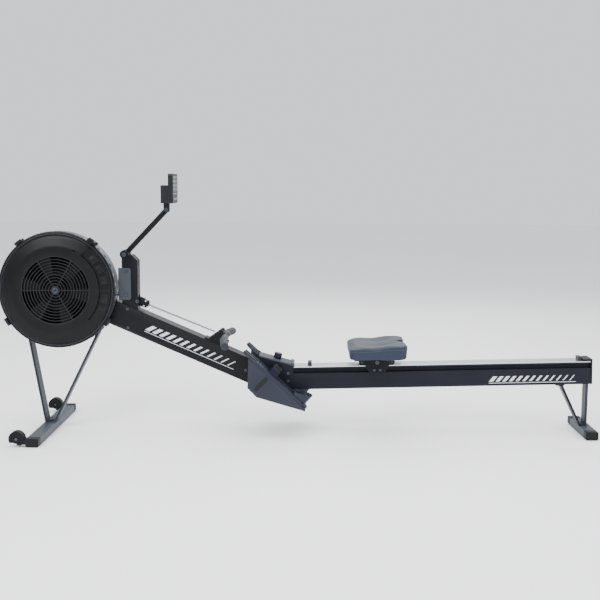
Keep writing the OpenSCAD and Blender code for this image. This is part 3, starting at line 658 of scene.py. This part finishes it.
SOFT_EDGES = {
    "main_beam": 0.0030, "frame_arm": 0.0010, "mast": 0.0020, "adapter_plate": 0.0010, "crossbars": 0.0030,
    "end_caps": 0.0030, "far_cover": 0.0012, "near_cover": 0.0010, "intake_grille": 0.0008, "hub_cap": 0.0007,
    "cover_clips": 0.0018, "chain_guide": 0.0012, "damper_ring": 0.0004, "monitor_arm": 0.0012,
    "monitor_back": 0.0020, "tilt_bolt": 0.0006, "handle_hook": 0.0014, "chain_clevis": 0.0012,
    "rail": 0.0015, "rail_track": 0.0008, "rail_socket": 0.0012, "socket_cover": 0.0020,
    "rail_end_cap": 0.0025,
    "seat_stops": 0.0015, "rear_leg": 0.0015, "seat_base": 0.0015, "carriage_plates": 0.0008,
    "carriage_axles": 0.0006, "frame_bolts": 0.0008, "sprocket": 0.0004, "foot_boxes": 0.0022,
    "upper_rollers_front": 0.0010, "upper_rollers_rear": 0.0010, "lower_rollers_front": 0.0008,
    "lower_rollers_rear": 0.0008, "button_left": 0.0009, "button_middle": 0.0009, "button_right": 0.0009,
    "front_leg": 0.0010, "wheel_axles": 0.0006,
}


class ROWER_OT_rounded_parts(bpy.types.Operator):
    """The pressed, moulded and machined parts with their edges rounded"""
    bl_idname = "rower.rounded_parts"
    bl_label = "Rounded parts"

    def execute(self, context):
        slots = {part["node"]: part["material_slot"] for part in frame["record"]["subparts"]}
        for node, width in SOFT_EDGES.items():
            piece = softened(node, width)
            place(piece, frame["nodes"][node]["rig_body"], slots[node], node)
        return {"FINISHED"}


class ROWER_OT_bolt_sockets(bpy.types.Operator):
    """The hexagon sockets in the bolt heads, drawn as thin dark hexagons flush with the heads: painted shade
    in place of the recesses
    """
    bl_idname = "rower.bolt_sockets"
    bl_label = "Bolt sockets"

    def execute(self, context):
        for node, body in (("frame_bolts", "frame"), ("tilt_bolt", "monitor"), ("hub_cap", "frame"),
                           ("carriage_axles", "seat")):
            sockets = []
            for lowest, highest in islands(node):
                centre = (lowest + highest) / 2
                reach = min(highest.x - lowest.x, highest.z - lowest.z) / 2
                for y, way in ((lowest.y, 1), (highest.y, -1)):
                    spot = Vector((centre.x, y, centre.z))
                    # a thin dark hexagonal plug at each bolt face: painted shade where the real head has a
                    # hollow socket
                    sockets.append(rod("socket", spot - Y * way * 0.0001, spot + Y * way * 0.0012,
                                       reach * 0.46, 6))
            piece = joined(node + "_sockets", sockets)
            place(piece, body, "bolt_dark")
        return {"FINISHED"}


class ROWER_OT_cover_scale(bpy.types.Operator):
    """The raised damper scale on the near cover: pads, a pointer line and a dot"""
    bl_idname = "rower.cover_scale"
    bl_label = "Damper scale"

    def execute(self, context):
        face = low("near_cover").y
        reach = size("near_cover").x / 2

        def cone(radius):
            start = reach - 0.038
            return face + 0.003 + 0.010 * max(0.0, (radius - start) / 0.034)

        pads = []
        for number, (angle, half) in enumerate(((39, 4.2), (25.5, 4.4), (12, 4.4), (-9.5, 5.2),
                                                (-21.5, 3.4))):
            r0, r1 = reach - 0.035, reach - 0.010
            corners = [(r0, angle - half), (r0, angle), (r0, angle + half), (r1, angle + half), (r1, angle),
                       (r1, angle - half)]
            pad = outline(f"scale_pad_{number}", [polar(HUB, r, a, cone(r) + 0.0008) for r, a in corners],
                          (0, -0.0024, 0))
            bevel(pad, 0.0005, 2)
            pads.append(pad)
        for number, (angle, r0, r1) in enumerate(((0, reach - 0.060, reach - 0.006),
                                                  (50, reach - 0.037, reach - 0.008),
                                                  (-27, reach - 0.037, reach - 0.008))):
            line = [polar(HUB, r, angle, (min(face, cone(r)) if r < reach - 0.044 else cone(r)) - 0.0001)
                    for r in (r0, (r0 + r1) / 2, r1)]
            pads.append(tube(f"scale_line_{number}", line, 0.0009, sides=3))
        dot = rod("scale_dot", polar(HUB, reach - 0.006, 0, cone(reach - 0.006) + 0.002),
                  polar(HUB, reach - 0.006, 0, cone(reach - 0.006) - 0.0012), 0.0030, 24)
        bevel(dot, 0.0005)
        edge = tube("scale_edge", [polar(HUB, reach - 0.0375, a, cone(reach - 0.0375) - 0.0001)
                                   for a in range(-27, 51, 3)], 0.0008, sides=3)
        scale = joined("damper_scale", pads + [dot, edge])
        place(smooth(scale), "frame", "cover_plastic")
        out = size("fan_band").x / 2 - 0.0002
        edge_y = low("fan_band").y
        trim = spun("cover_trim", [Vector((HUB.x + r, edge_y + y, HUB.z)) for r, y in (
            (reach - 0.0035, -0.0042), (reach + 0.0010, -0.0054), (reach + 0.0060, -0.0040),
            (out - 0.0030, -0.0040),
            (out, -0.0018), (out, 0.0100), (out - 0.0015, 0.0100), (out - 0.0015, -0.0004),
            (reach - 0.0035, -0.0004))], HUB, steps=160)
        place(smooth(trim, 40), "frame", "cover_plastic")
        bead = spun("cover_bead", [polar(HUB, 0, 0) + X * (reach + 0.0048 + 0.0009 * math.cos(a))
                                   + Y * (edge_y - 0.0046 + 0.0009 * math.sin(a)) for a in
                                   [2 * math.pi * k / 8 for k in range(8)]], HUB, steps=160)
        place(smooth(bead, 80), "frame", "plate_grey")
        return {"FINISHED"}


class ROWER_OT_damper_lever(bpy.types.Operator):
    """The thin curved lever that turns the damper, and its ribbed knob"""
    bl_idname = "rower.damper_lever"
    bl_label = "Damper lever"

    def execute(self, context):
        near = low("damper_lever").y + 0.002
        slot = (size("near_cover").x / 2) * 179 / 222
        line = eased([polar(HUB, slot, 54, near + 0.010), polar(HUB, slot + 0.002, 54, near + 0.003),
                      polar(HUB, slot + 0.012, 52.6, near + 0.0012),
                      polar(HUB, slot + 0.032, 51.6, near + 0.001),
                      polar(HUB, slot + 0.055, 52.4, near + 0.002),
                      polar(HUB, slot + 0.066, 53.6, near + 0.004)], 40)
        wire = tube("lever_wire", line, 0.0022)
        tongue = tube("lever_tongue", arc(HUB, slot, 51, 61, 12, near + 0.0022), 0.0020)
        across = polar(HUB, 1, 54) - Vector((HUB.x, 0, HUB.z))
        along = Y.cross(across).normalized()
        middle_of_knob = polar(HUB, 0.250, 54, near + 0.008)
        plan = []
        for k in range(28):
            a = 2 * math.pi * k / 28
            wide = 0.0125 * (abs(math.cos(a)) ** 0.6) * math.copysign(1, math.cos(a))
            deep = 0.0090 * (abs(math.sin(a)) ** 0.6) * math.copysign(1, math.sin(a))
            plan.append(middle_of_knob + along * wide + across * deep - Y * 0.008)
        knob = outline("lever_knob", plan, (0, 0.018, 0))
        bevel(knob, 0.0022, 3)
        ribs = [rod(f"lever_rib_{k}", middle_of_knob + along * (0.0045 * k) + across * 0.0088 - Y * 0.007,
                    middle_of_knob + along * (0.0045 * k) + across * 0.0088 + Y * 0.009, 0.0011, 12)
                for k in (-2, -1, 0, 1, 2)]
        lever = joined("damper_lever_shape", [wire, tongue, knob] + ribs)
        place(smooth(lever), "damper", "dark_plastic", "damper_lever")
        return {"FINISHED"}


class ROWER_OT_chain(bpy.types.Operator):
    """The link chain from the guide to the handle"""
    bl_idname = "rower.chain"
    bl_label = "Pull chain"

    def execute(self, context):
        pitch = context.scene.rower_frame.chain_pitch
        lowest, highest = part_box("pull_chain")
        start = Vector((lowest.x, 0, highest.z - 0.004))
        end = Vector((highest.x, 0, lowest.z + 0.004))
        line = (end - start).normalized()
        upward = Vector((-line.z, 0, line.x))
        count = int((end - start).length / pitch)
        pitch = (end - start).length / count
        waist = [(0, 0.0040), (0.2, 0.0030), (0.5, 0.0024), (0.8, 0.0030), (1, 0.0040)]
        shape = ([(u, v) for u, v in waist] + [(1.30, 0.0028), (1.38, 0), (1.30, -0.0028)]
                 + [(u, -v) for u, v in reversed(waist)] + [(-0.30, -0.0028), (-0.38, 0), (-0.30, 0.0028)])
        pieces = []
        for parity, depth in ((0, 0.0019), (1, 0.0031)):
            plate = outline("link_plate", [start + line * pitch * (parity + u) + upward * v + Y * depth
                                           for u, v in shape], (0, 0.0010, 0))
            twin = mirrored(plate, "link_plate_far")
            pieces += [plate, twin]
        for k in (0, 1):
            spot = start + line * pitch * k
            pieces.append(rod("link_roller", spot - Y * 0.0019, spot + Y * 0.0019, 0.0033, 10))
            pieces.append(rod("link_pin", spot - Y * 0.0046, spot + Y * 0.0046, 0.0016, 8))
        pair = joined("chain_pair", pieces)
        modify(pair, "ARRAY", count=count // 2, use_relative_offset=False, use_constant_offset=True,
               constant_offset_displace=line * pitch * 2)
        pair.name = pair.data.name = "pull_chain_links"
        paint(smooth(pair), "chain_steel")
        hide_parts("pull_chain")
        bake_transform(pair)
        return {"FINISHED"}


class ROWER_OT_handle(bpy.types.Operator):
    """The bent handle with its ribbed rubber grips"""
    bl_idname = "rower.handle"
    bl_label = "Handle grips"

    def execute(self, context):
        middle_line = cross_bar()
        bend, tip = 0.095, high("handle_grips").y
        end_shift = Vector((0.014, 0, -0.008))
        line = [middle_line + Y * y for y in (0.030, 0.050, 0.070, 0.086)]
        line += [middle_line + Y * (bend + (tip - bend) * k) + end_shift * k
                 for k in (0.06, 0.3, 0.55, 0.8, 1.0)]
        line = eased(line, 150)
        last = len(line) - 1
        radii = []
        for k, point in enumerate(line):
            share = point.y / tip
            ridge = 0.955 if (k // 3) % 2 else 1.0
            if share < 0.45:
                ridge = 0.90
            if share > 0.95:
                ridge = 1.0
            ends = min(1.0, 0.55 + 0.15 * k, (0.55 + 0.11 * (last - k)) ** 0.7)
            radii.append(min(1.0, ridge) * ends)
        near = tube("grip_far", line, GRIP, radii, sides=10)
        pair = joined("handle_grips_shape", [near, mirrored(near, "grip_near")])
        place(smooth(pair, 50), "handle", "grip_rubber", "handle_grips")
        return {"FINISHED"}


class ROWER_OT_foot_rests(bpy.types.Operator):
    """The foot boards, their treads, toe fins and curved heel cups"""
    bl_idname = "rower.foot_rests"
    bl_label = "Foot rests"

    def execute(self, context):
        lowest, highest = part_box("foot_boards")
        out = highest.y
        inner = out - FOOT_WIDTH
        long = size("foot_boards").x / BOARD.x - 0.0127 * BOARD_UP.x / BOARD.x
        wide = out - inner
        plan = []
        for down, across in ((0.006, 0.020), (0.0, 0.034), (0.0, wide - 0.034), (0.006, wide - 0.020),
                             (0.030, wide - 0.004), (0.060, wide), (long - 0.030, wide),
                             (long - 0.008, wide - 0.010), (long, wide - 0.026), (long, 0.026),
                             (long - 0.008, 0.010), (long - 0.030, 0.0), (0.060, 0.0), (0.030, 0.004)):
            plan.append(board_point(down, inner + across, -0.0225))
        board = outline("board", plan, BOARD_UP * 0.0080)
        bevel(board, 0.0012, 2)
        parts = [board]
        for k in range(15):
            down = 0.030 + 0.0145 * k
            if 0.118 < down < 0.178:
                continue
            start, end = board_point(down, inner + 0.012, -0.0145), board_point(down, out - 0.012, -0.0145)
            parts.append(tube(f"tread_{k}", [start, end], 0.0022, sides=3))
        for across in (inner + 0.003, out - 0.003):
            rim = [board_point(d, across, -0.0125) for d in (0.062, 0.15, 0.25, long - 0.034)]
            parts.append(tube("board_rim", eased(rim, 12), 0.0024, sides=4))
        for across in (inner + 0.018, out - 0.030):
            fin = [board_point(d, across, u)
                   for d, u in ((0.004, -0.0145), (0.002, -0.0105), (0.060, -0.0102), (0.072, -0.0145))]
            parts.append(outline("toe_fin", fin, (0, 0.012, 0)))
        near = joined("foot_board_far", parts)
        pair = joined("foot_boards_shape", [near, mirrored(near, "foot_board_near")])
        place(smooth(pair), "frame", "foot_plastic", "foot_boards")
        # a dark patch shaped like a slot on each foot box skirt: painted shade where the skirt has a recessed
        # slot
        skirt = high("foot_boxes").y
        ends = (Vector((-0.131, 0, 0.243)), Vector((-0.170, 0, 0.202)))
        run = (ends[1] - ends[0]).normalized()
        across = Vector((-run.z, 0, run.x))
        slot_shade_line = []
        for end, turn in ((ends[0], 90), (ends[1], 270)):
            for a in range(turn, turn + 181, 20):
                way = across * math.sin(math.radians(a)) + run * math.cos(math.radians(a))
                slot_shade_line.append(end + way * 0.0088)
        slot = outline("skirt_slot", [p + Y * (skirt - 0.0008) for p in slot_shade_line], (0, -0.0010, 0))
        place(joined("skirt_slots", [slot, mirrored(slot, "skirt_slot_near")]), "frame", "dark_plastic")
        for side, name in ((-1, "left"), (1, "right")):
            self.heel_cup(name, side, (inner + out) / 2)
        return {"FINISHED"}

    def heel_cup(self, name, side, centre):
        """A floor plate with a wall curved round the heel, lower at the front."""
        down0 = 0.262
        half = 0.0365
        wall = [(0.004, half), (0.030, half)] + [(0.034 + 0.0335 * math.sin(a), half * math.cos(a))
                                                for a in [math.pi * k / 16 for k in range(0, 17)]]
        wall += [(0.030, -half), (0.004, -half)]
        points = [board_point(down0 + d, side * centre + y, -0.0090) for d, y in wall]
        piece = path(f"heel_cup_{name}_wall", points)
        edit(piece)
        for rise in (0.010, 0.012, 0.012, 0.0095):
            extrude(BOARD_UP * rise)
        bpy.ops.mesh.select_all(action="SELECT")
        front = board_point(down0 + 0.004, 0, 0.002)
        back = board_point(down0 + 0.068, 0, 0.036)
        slope = (back - front).normalized()
        bpy.ops.mesh.bisect(plane_co=front, plane_no=Vector((-slope.z, 0, slope.x)), clear_outer=True)
        done()
        outward(piece)
        modify(piece, "SOLIDIFY", thickness=0.0045, offset=0)
        bevel(piece, 0.0012, 2, 30)
        floor = outline(f"heel_cup_{name}_floor", points, BOARD_UP * 0.0045)
        bevel(floor, 0.0010, 2)
        holes = []
        for k in (-1, 0, 1):
            spot = board_point(down0 + 0.020 + 0.014 * (k + 1), side * centre, -0.0046)
            holes.append(rod("cup_button", spot, spot + BOARD_UP * 0.0022, 0.0042, 20))
        cup = joined(f"heel_cup_{name}_shape", [piece, floor] + holes)
        place(smooth(cup), f"heel_cup_{name}", "foot_plastic", f"heel_cup_{name}")


class ROWER_OT_foot_straps(bpy.types.Operator):
    """The woven straps over the feet, with their ladder buckles and loose ends"""
    bl_idname = "rower.foot_straps"
    bl_label = "Foot straps"

    def execute(self, context):
        out = high("foot_boards").y
        inner = out - FOOT_WIDTH
        down0 = 0.128
        arch = eased([(0, inner + 0.004, -0.012), (0, inner + 0.0038, 0.004), (0, inner + 0.012, 0.018),
                      (0, (inner + out) / 2, 0.0225), (0, out - 0.012, 0.018), (0, out - 0.0038, 0.004),
                      (0, out - 0.004, -0.012)], 44)
        band = path("strap_band", [board_point(down0 + 0.002, p.y, p.z) for p in arch])
        edit(band)
        for _ in range(6):
            extrude(BOARD * 0.006)
        done()
        outward(band)
        modify(band, "SOLIDIFY", thickness=0.0018, offset=0)
        tail = eased([(0, inner + 0.020, 0.0225), (0, inner + 0.006, 0.0245), (0, inner + 0.003, 0.0190),
                      (0, inner + 0.0022, 0.0060)], 16)
        loose = path("strap_tail", [board_point(down0 + 0.010, p.y, p.z) for p in tail])
        edit(loose)
        extrude(BOARD * 0.024)
        done()
        outward(loose)
        modify(loose, "SOLIDIFY", thickness=0.0016, offset=0)
        straps = joined("strap_pair", [band, loose])
        bevel(straps, 0.0004, 1)
        straps = joined("foot_straps_shape", [straps, mirrored(straps, "strap_near")])
        place(smooth(straps), "frame", "strap_web", "foot_straps")
        frame_bars = []
        for down in (0.004, 0.032):
            bar = block("buckle_side", (0, 0, 0), (0.004, 0.046, 0.004))
            bar.location = (down, 0, 0)
            frame_bars.append(settle(bar))
        for k in range(4):
            frame_bars.append(block("buckle_rung", (0.004, 0.001 + k * 0.0135, 0),
                                    (0.034, 0.0055 + k * 0.0135, 0.0034)))
        buckle = joined("buckle", frame_bars)
        bevel(buckle, 0.0008, 2)
        turn = Matrix((BOARD, Y, BOARD_UP)).transposed().to_4x4()
        turn.translation = board_point(down0 + 0.002, inner + 0.016, 0.0248)
        buckle.data.transform(turn)
        pair = joined("strap_buckles", [buckle, mirrored(buckle, "buckle_near")])
        place(smooth(pair), "frame", "dark_plastic")
        return {"FINISHED"}


class ROWER_OT_monitor(bpy.types.Operator):
    """The monitor's housing, its bezel and what its screen shows"""
    bl_idname = "rower.monitor"
    bl_label = "Monitor"

    def execute(self, context):
        housing = softened("monitor_housing", 0.0030, 3)
        place(housing, "monitor", "monitor_plastic", "monitor_housing")
        lowest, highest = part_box("screen_lens")
        front = highest.x
        margin = 0.008
        marks = []
        wide = highest.y - lowest.y - 2 * margin
        for row in range(3):
            top = highest.z - margin - row * 0.0165
            for start, share in ((0.0, 0.42), (0.52, 0.30), (0.86, 0.12)):
                y0 = lowest.y + margin + start * wide
                marks.append(block("mark", (front - 0.0002, y0, top - 0.009),
                                   (front + 0.0003, y0 + share * wide * 0.9, top)))
        for k in range(12):
            tall = 0.004 + 0.012 * (0.5 + 0.5 * math.sin(k * 0.9))
            y0 = lowest.y + margin + wide * k / 12
            marks.append(block("bar", (front - 0.0002, y0, lowest.z + 0.005),
                               (front + 0.0003, y0 + wide / 16, lowest.z + 0.005 + tall)))
        place(joined("screen_marks", marks), "monitor", "screen_print")
        bezel = []
        z0, z1, y0, y1 = lowest.z - 0.003, highest.z + 0.003, lowest.y - 0.003, highest.y + 0.003
        ring = [(y0, z0), (y1, z0), (y1, z1), (y0, z1)]
        face = high("monitor_housing").x
        for (ya, za), (yb, zb) in zip(ring, ring[1:] + ring[:1]):
            bezel.append(tube("bezel_side", [(face - 0.0010, ya, za), (face - 0.0010, yb, zb)], 0.0012,
                              sides=4))
        place(smooth(joined("screen_bezel", bezel)), "monitor", "dark_plastic")
        return {"FINISHED"}


class ROWER_OT_lock_knob(bpy.types.Operator):
    """The fluted knob that locks the rail into its socket"""
    bl_idname = "rower.lock_knob"
    bl_label = "Lock knob"

    def execute(self, context):
        up = Vector(joint("lock_knob_turn")["axis"])
        side = up.cross(Y)
        foot = joint_place("lock_knob_turn")
        points = [vertex.co - foot for vertex in frame["nodes"]["lock_knob"].data.vertices]
        heights = [point.dot(up) for point in points]
        reach, stem_low = max(heights), min(heights)
        base = min(height for point, height in zip(points, heights) if (point - up * height).length > 0.012)
        radius = 0.0168
        plan = []
        for k in range(84):
            a = 2 * math.pi * k / 84
            r = radius * (0.955 + 0.045 * math.cos(7 * a))
            plan.append(foot + up * base + side * (r * math.cos(a)) + Y * (r * math.sin(a)))
        head = outline("knob_head", plan, up * (reach - base - 0.0002))
        bevel(head, 0.0022, 3, 50)
        stem = rod("knob_stem", foot + up * stem_low, foot + up * (base + 0.002), 0.0045, 32)
        collar = rod("knob_collar", foot + up * (base - 0.0002), foot + up * (base + 0.004), 0.0100, 32)
        knob = joined("lock_knob_shape", [head, stem, collar])
        place(smooth(knob), "lock_knob", "knob_plastic", "lock_knob")
        return {"FINISHED"}


class ROWER_OT_wheels(bpy.types.Operator):
    """The transport wheels with their grooved tyres and dished hubs"""
    bl_idname = "rower.wheels"
    bl_label = "Transport wheels"

    def execute(self, context):
        for name in ("wheel_left", "wheel_right"):
            centre = middle(name)
            half = size(name).y / 2 - 0.0002
            r = size(name).x / 2 - 0.0001
            bore = 0.0042
            rows = [(bore, -half * 0.72), (r * 0.36, -half * 0.72), (r * 0.42, -half * 0.45),
                    (r * 0.70, -half * 0.45), (r * 0.76, -half * 0.90), (r * 0.93, -half), (r, -half * 0.72)]
            for k in (-0.4, 0.0, 0.4):
                rows += [(r, half * (k - 0.10)), (r - 0.0012, half * (k - 0.05)),
                         (r - 0.0012, half * (k + 0.05)), (r, half * (k + 0.10))]
            rows += [(radius, -depth) for radius, depth in reversed(rows[:7])]
            profile = [Vector((centre.x + radius, centre.y + depth, centre.z)) for radius, depth in rows]
            wheel = spun(f"{name}_shape", profile, centre, steps=64)
            place(smooth(wheel, 40), name, "wheel_rubber", name)
        return {"FINISHED"}


class ROWER_OT_stripes(bpy.types.Operator):
    """Plain slanted stripes on the near side of the beam and the rail"""
    bl_idname = "rower.stripes"
    bl_label = "Side stripes"

    def execute(self, context):
        wish = context.scene.rower_frame
        down = EDGE_DOWN
        beam_up = Vector((-down.z, 0, down.x))
        face = low("main_beam").y
        groups = []
        for start, spread, line, up, tall, depth in (
                (Vector((-0.634, 0, 0.4295)), 0.40, down, beam_up, wish.stripe_height, face),
                (Vector((0.790, 0, 0.221)), 0.36, RAIL, RAIL_UP, wish.stripe_height * 0.8, low("rail").y)):
            count = wish.stripes
            for k in range(count):
                first = spread * k / count
                last = first + spread / count * (0.62 - 0.46 * k / (count - 1))
                lean = up * tall + line * tall * 0.85
                corners = [start + line * first, start + line * last, start + line * last + lean,
                           start + line * first + lean]
                corners = [Vector((p.x, depth - 0.0003, p.z)) for p in corners]
                groups.append(outline("stripe", corners, (0, 0.0005, 0)))
            foot = [start - up * 0.0075, start + line * spread - up * 0.0075,
                    start + line * spread - up * 0.0055, start - up * 0.0055]
            groups.append(outline("underline", [Vector((p.x, depth - 0.0003, p.z)) for p in foot],
                                  (0, 0.0005, 0)))
        place(joined("side_stripes", groups), "frame", "white_print")
        return {"FINISHED"}


class ROWER_OT_seat(bpy.types.Operator):
    """The contoured seat pad with its two rear lobes and tail notch"""
    bl_idname = "rower.seat"
    bl_label = "Seat pad"

    def execute(self, context):
        wish = context.scene.rower_seat
        lowest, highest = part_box("seat_pad")
        centre = middle("seat_pad")
        length, width, _ = size("seat_pad")
        half_l, half_w = length / 2 - 0.004, width / 2 - 0.004
        slope = RAIL.z / RAIL.x
        thick = 0.048
        floor = lowest[2] + 0.002

        def under(x):
            return floor + (x - centre.x + half_l) * slope

        corner = 0.036
        plan = []
        for cx, cy, start in ((half_l - corner, half_w - corner, 0), (-half_l + corner, half_w - corner, 90)):
            for a in range(start, start + 91, 15):
                plan.append((cx + corner * math.cos(math.radians(a)),
                             cy + corner * math.sin(math.radians(a))))
        notch = [(half_l, 0.050), (half_l - 0.004, 0.034), (half_l - 0.020, 0.018), (half_l - 0.027, 0.0)]
        ring = notch[::-1] + plan + [(x, -y) for x, y in reversed(plan)] + [(x, -y) for x, y in notch[:-1]]
        base = [Vector((centre.x + x, y, under(centre.x + x))) for x, y in ring]
        pad = outline("seat_skin", base, Z * thick)
        edit(pad)
        bpy.ops.mesh.quads_convert_to_tris()
        done()
        modify(pad, "REMESH", mode="VOXEL", voxel_size=wish.voxel)
        for point in pad.data.vertices:
            u = (point.co.x - centre.x) / half_l
            v = point.co.y / half_w
            up = (point.co.z - under(point.co.x)) / thick
            rear = 0.5 + 0.5 * math.tanh((u - 0.30) * 3.4)
            rise = -0.001 + 0.008 * rear - 0.003 * math.exp(-((u + 0.15) ** 2) * 6)
            dish = -0.009 * math.exp(-((abs(v) - 0.40) ** 2) * 16) * math.exp(-((u - 0.20) ** 2) * 3.5)
            groove = -0.005 * math.exp(-(v ** 2) * 110) * (0.2 + 0.8 * rear)
            roll = -0.006 * max(0.0, -u - 0.75) / 0.25
            if up > 0.35:
                point.co.z += (rise + dish + groove + roll) * min(1, (up - 0.35) / 0.6)
            tuck = 1 - 0.030 * max(0.0, 0.8 - up)
            point.co.x = centre.x + (point.co.x - centre.x) * tuck
            point.co.y *= tuck
        self.puff(pad, wish, lowest)
        modify(pad, "SUBSURF", levels=1, render_levels=1)
        top = highest[2] + 0.004
        for point in pad.data.vertices:
            point.co.z = max(point.co.z, lowest[2] + 0.0005)
            point.co.z = min(point.co.z, top)
            point.co.x = min(max(point.co.x, lowest[0] + 0.0005), highest[0] - 0.0005)
            point.co.y = min(max(point.co.y, lowest[1] + 0.0005), highest[1] - 0.0005)
        smooth(pad, 180)
        place(pad, "seat", "seat_foam", "seat_pad")
        self.piping(pad, centre, half_l, half_w)
        return {"FINISHED"}

    def piping(self, pad, centre, half_l, half_w):
        """A moulded bead round the pad, between its side wall and its top."""
        surface_tree = BVHTree.FromObject(pad, bpy.context.evaluated_depsgraph_get())
        points = []
        for k in range(96):
            a = 2 * math.pi * k / 96
            aim = Vector((math.cos(a) * half_l, math.sin(a) * half_w, 0)).normalized()
            height = centre.z + 0.012 + 0.006 * math.tanh(2.5 * math.cos(a))
            start = Vector((centre.x, 0, height)) + aim * 0.4
            spot, normal, _, _ = surface_tree.ray_cast(start, -aim)
            if spot:
                points.append(spot - aim * 0.0002)
        bead = tube("seat_piping", points + points[:2], 0.0011, sides=4)
        place(smooth(bead, 80), "seat", "seat_edge")

    def puff(self, pad, wish, lowest):
        """Swells the skin a little by cloth pressure, with a cap on how far a point moves."""
        before = [point.co.copy() for point in pad.data.vertices]
        only(pad)
        cloth = pad.modifiers.new("Cloth", "CLOTH")
        cloth.settings.use_pressure = True
        cloth.settings.uniform_pressure_force = wish.pressure
        cloth.settings.effector_weights.gravity = 0
        cloth.settings.tension_stiffness = 60
        cloth.settings.bending_stiffness = 8
        scene = bpy.context.scene
        for number in range(1, 21):
            scene.frame_set(number)
        bpy.ops.object.modifier_apply(modifier=cloth.name)
        scene.frame_set(1)
        most = 0.005
        for point, start in zip(pad.data.vertices, before):
            move = point.co - start
            if move.length > most:
                point.co = start + move.normalized() * most
            if start.z < lowest[2] + 0.006:
                point.co.z = start.z


class ROWER_OT_stage(bpy.types.Operator):
    """The floor, the lights and the camera"""
    bl_idname = "rower.stage"
    bl_label = "Stage"

    def execute(self, context):
        wish = context.scene.rower_stage
        fresh()
        bpy.ops.mesh.primitive_plane_add(size=40, location=(0, 0, 0))
        floor = named("floor")
        floor_finish = surface("pale_floor", wish.floor_colour, 0.6, mottle=0.01, mottle_scale=0.6, bump=0.0)
        floor.data.materials.append(floor_finish)
        world = bpy.data.worlds.new("studio")
        world.use_nodes = True
        world.node_tree.nodes["Background"].inputs["Color"].default_value = (0.95, 0.97, 1.0, 1)
        world.node_tree.nodes["Background"].inputs["Strength"].default_value = 1.15
        context.scene.world = world
        for name, spot, aim, energy, side in (
                ("key", (-2.2, -3.4, 3.6), (-0.2, 0, 0.4), 210, 2.6),
                ("fill", (3.0, -2.6, 2.0), (0.3, 0, 0.3), 80, 2.4),
                ("rim", (0.5, 3.2, 3.2), (0, 0, 0.4), 90, 2.8), ("top", (0, 0, 4.2), (0, 0, 0), 150, 3.2)):
            light = bpy.data.lights.new(name, "AREA")
            light.energy = energy
            light.size = side
            lamp = bpy.data.objects.new(name, light)
            lamp.location = spot
            lamp.rotation_euler = (Vector(aim) - Vector(spot)).to_track_quat("-Z", "Y").to_euler()
            bpy.context.collection.objects.link(lamp)
        camera = bpy.data.cameras.new("camera")
        camera.lens = wish.lens
        camera.sensor_width = 36
        stand = bpy.data.objects.new("camera", camera)
        turn = (Matrix.Rotation(wish.camera_left, 3, "Z")
                @ Matrix.Rotation(math.pi / 2 - wish.camera_down, 3, "X")
                @ Matrix.Rotation(wish.camera_roll, 3, "Z"))
        stand.rotation_euler = turn.to_euler()
        stand.location = wish.camera_place
        bpy.context.collection.objects.link(stand)
        context.scene.camera = stand
        return {"FINISHED"}


PROPERTY_GROUPS = (RowerFrame, RowerSeat, RowerStage)
PIECES = (ROWER_OT_stage, ROWER_OT_frame_finishes, ROWER_OT_rounded_parts, ROWER_OT_bolt_sockets,
          ROWER_OT_cover_scale, ROWER_OT_damper_lever, ROWER_OT_chain, ROWER_OT_handle,
          ROWER_OT_foot_rests, ROWER_OT_foot_straps, ROWER_OT_monitor, ROWER_OT_lock_knob,
          ROWER_OT_wheels, ROWER_OT_stripes, ROWER_OT_seat)


class ROWER_PT_panel(bpy.types.Panel):
    """Lists the pieces of the rowing machine"""
    bl_idname = "ROWER_PT_panel"
    bl_label = "Rowing machine"
    bl_space_type = "VIEW_3D"
    bl_region_type = "UI"
    bl_category = "Rower"

    def draw(self, context):
        for group in (context.scene.rower_frame, context.scene.rower_seat, context.scene.rower_stage):
            for name in group.bl_rna.properties.keys():
                if name not in ("rna_type", "name"):
                    self.layout.prop(group, name)
        for piece in PIECES:
            self.layout.operator(piece.bl_idname)


def register():
    for group in PROPERTY_GROUPS + PIECES + (ROWER_PT_panel,):
        bpy.utils.register_class(group)
    bpy.types.Scene.rower_frame = PointerProperty(type=RowerFrame)
    bpy.types.Scene.rower_seat = PointerProperty(type=RowerSeat)
    bpy.types.Scene.rower_stage = PointerProperty(type=RowerStage)


def unregister():
    del bpy.types.Scene.rower_frame, bpy.types.Scene.rower_seat, bpy.types.Scene.rower_stage
    for group in reversed(PROPERTY_GROUPS + PIECES + (ROWER_PT_panel,)):
        bpy.utils.unregister_class(group)


def main():
    register()
    for piece in PIECES:
        group, name = piece.bl_idname.split(".")
        getattr(getattr(bpy.ops, group), name)()


if __name__ == "__main__":
    main()
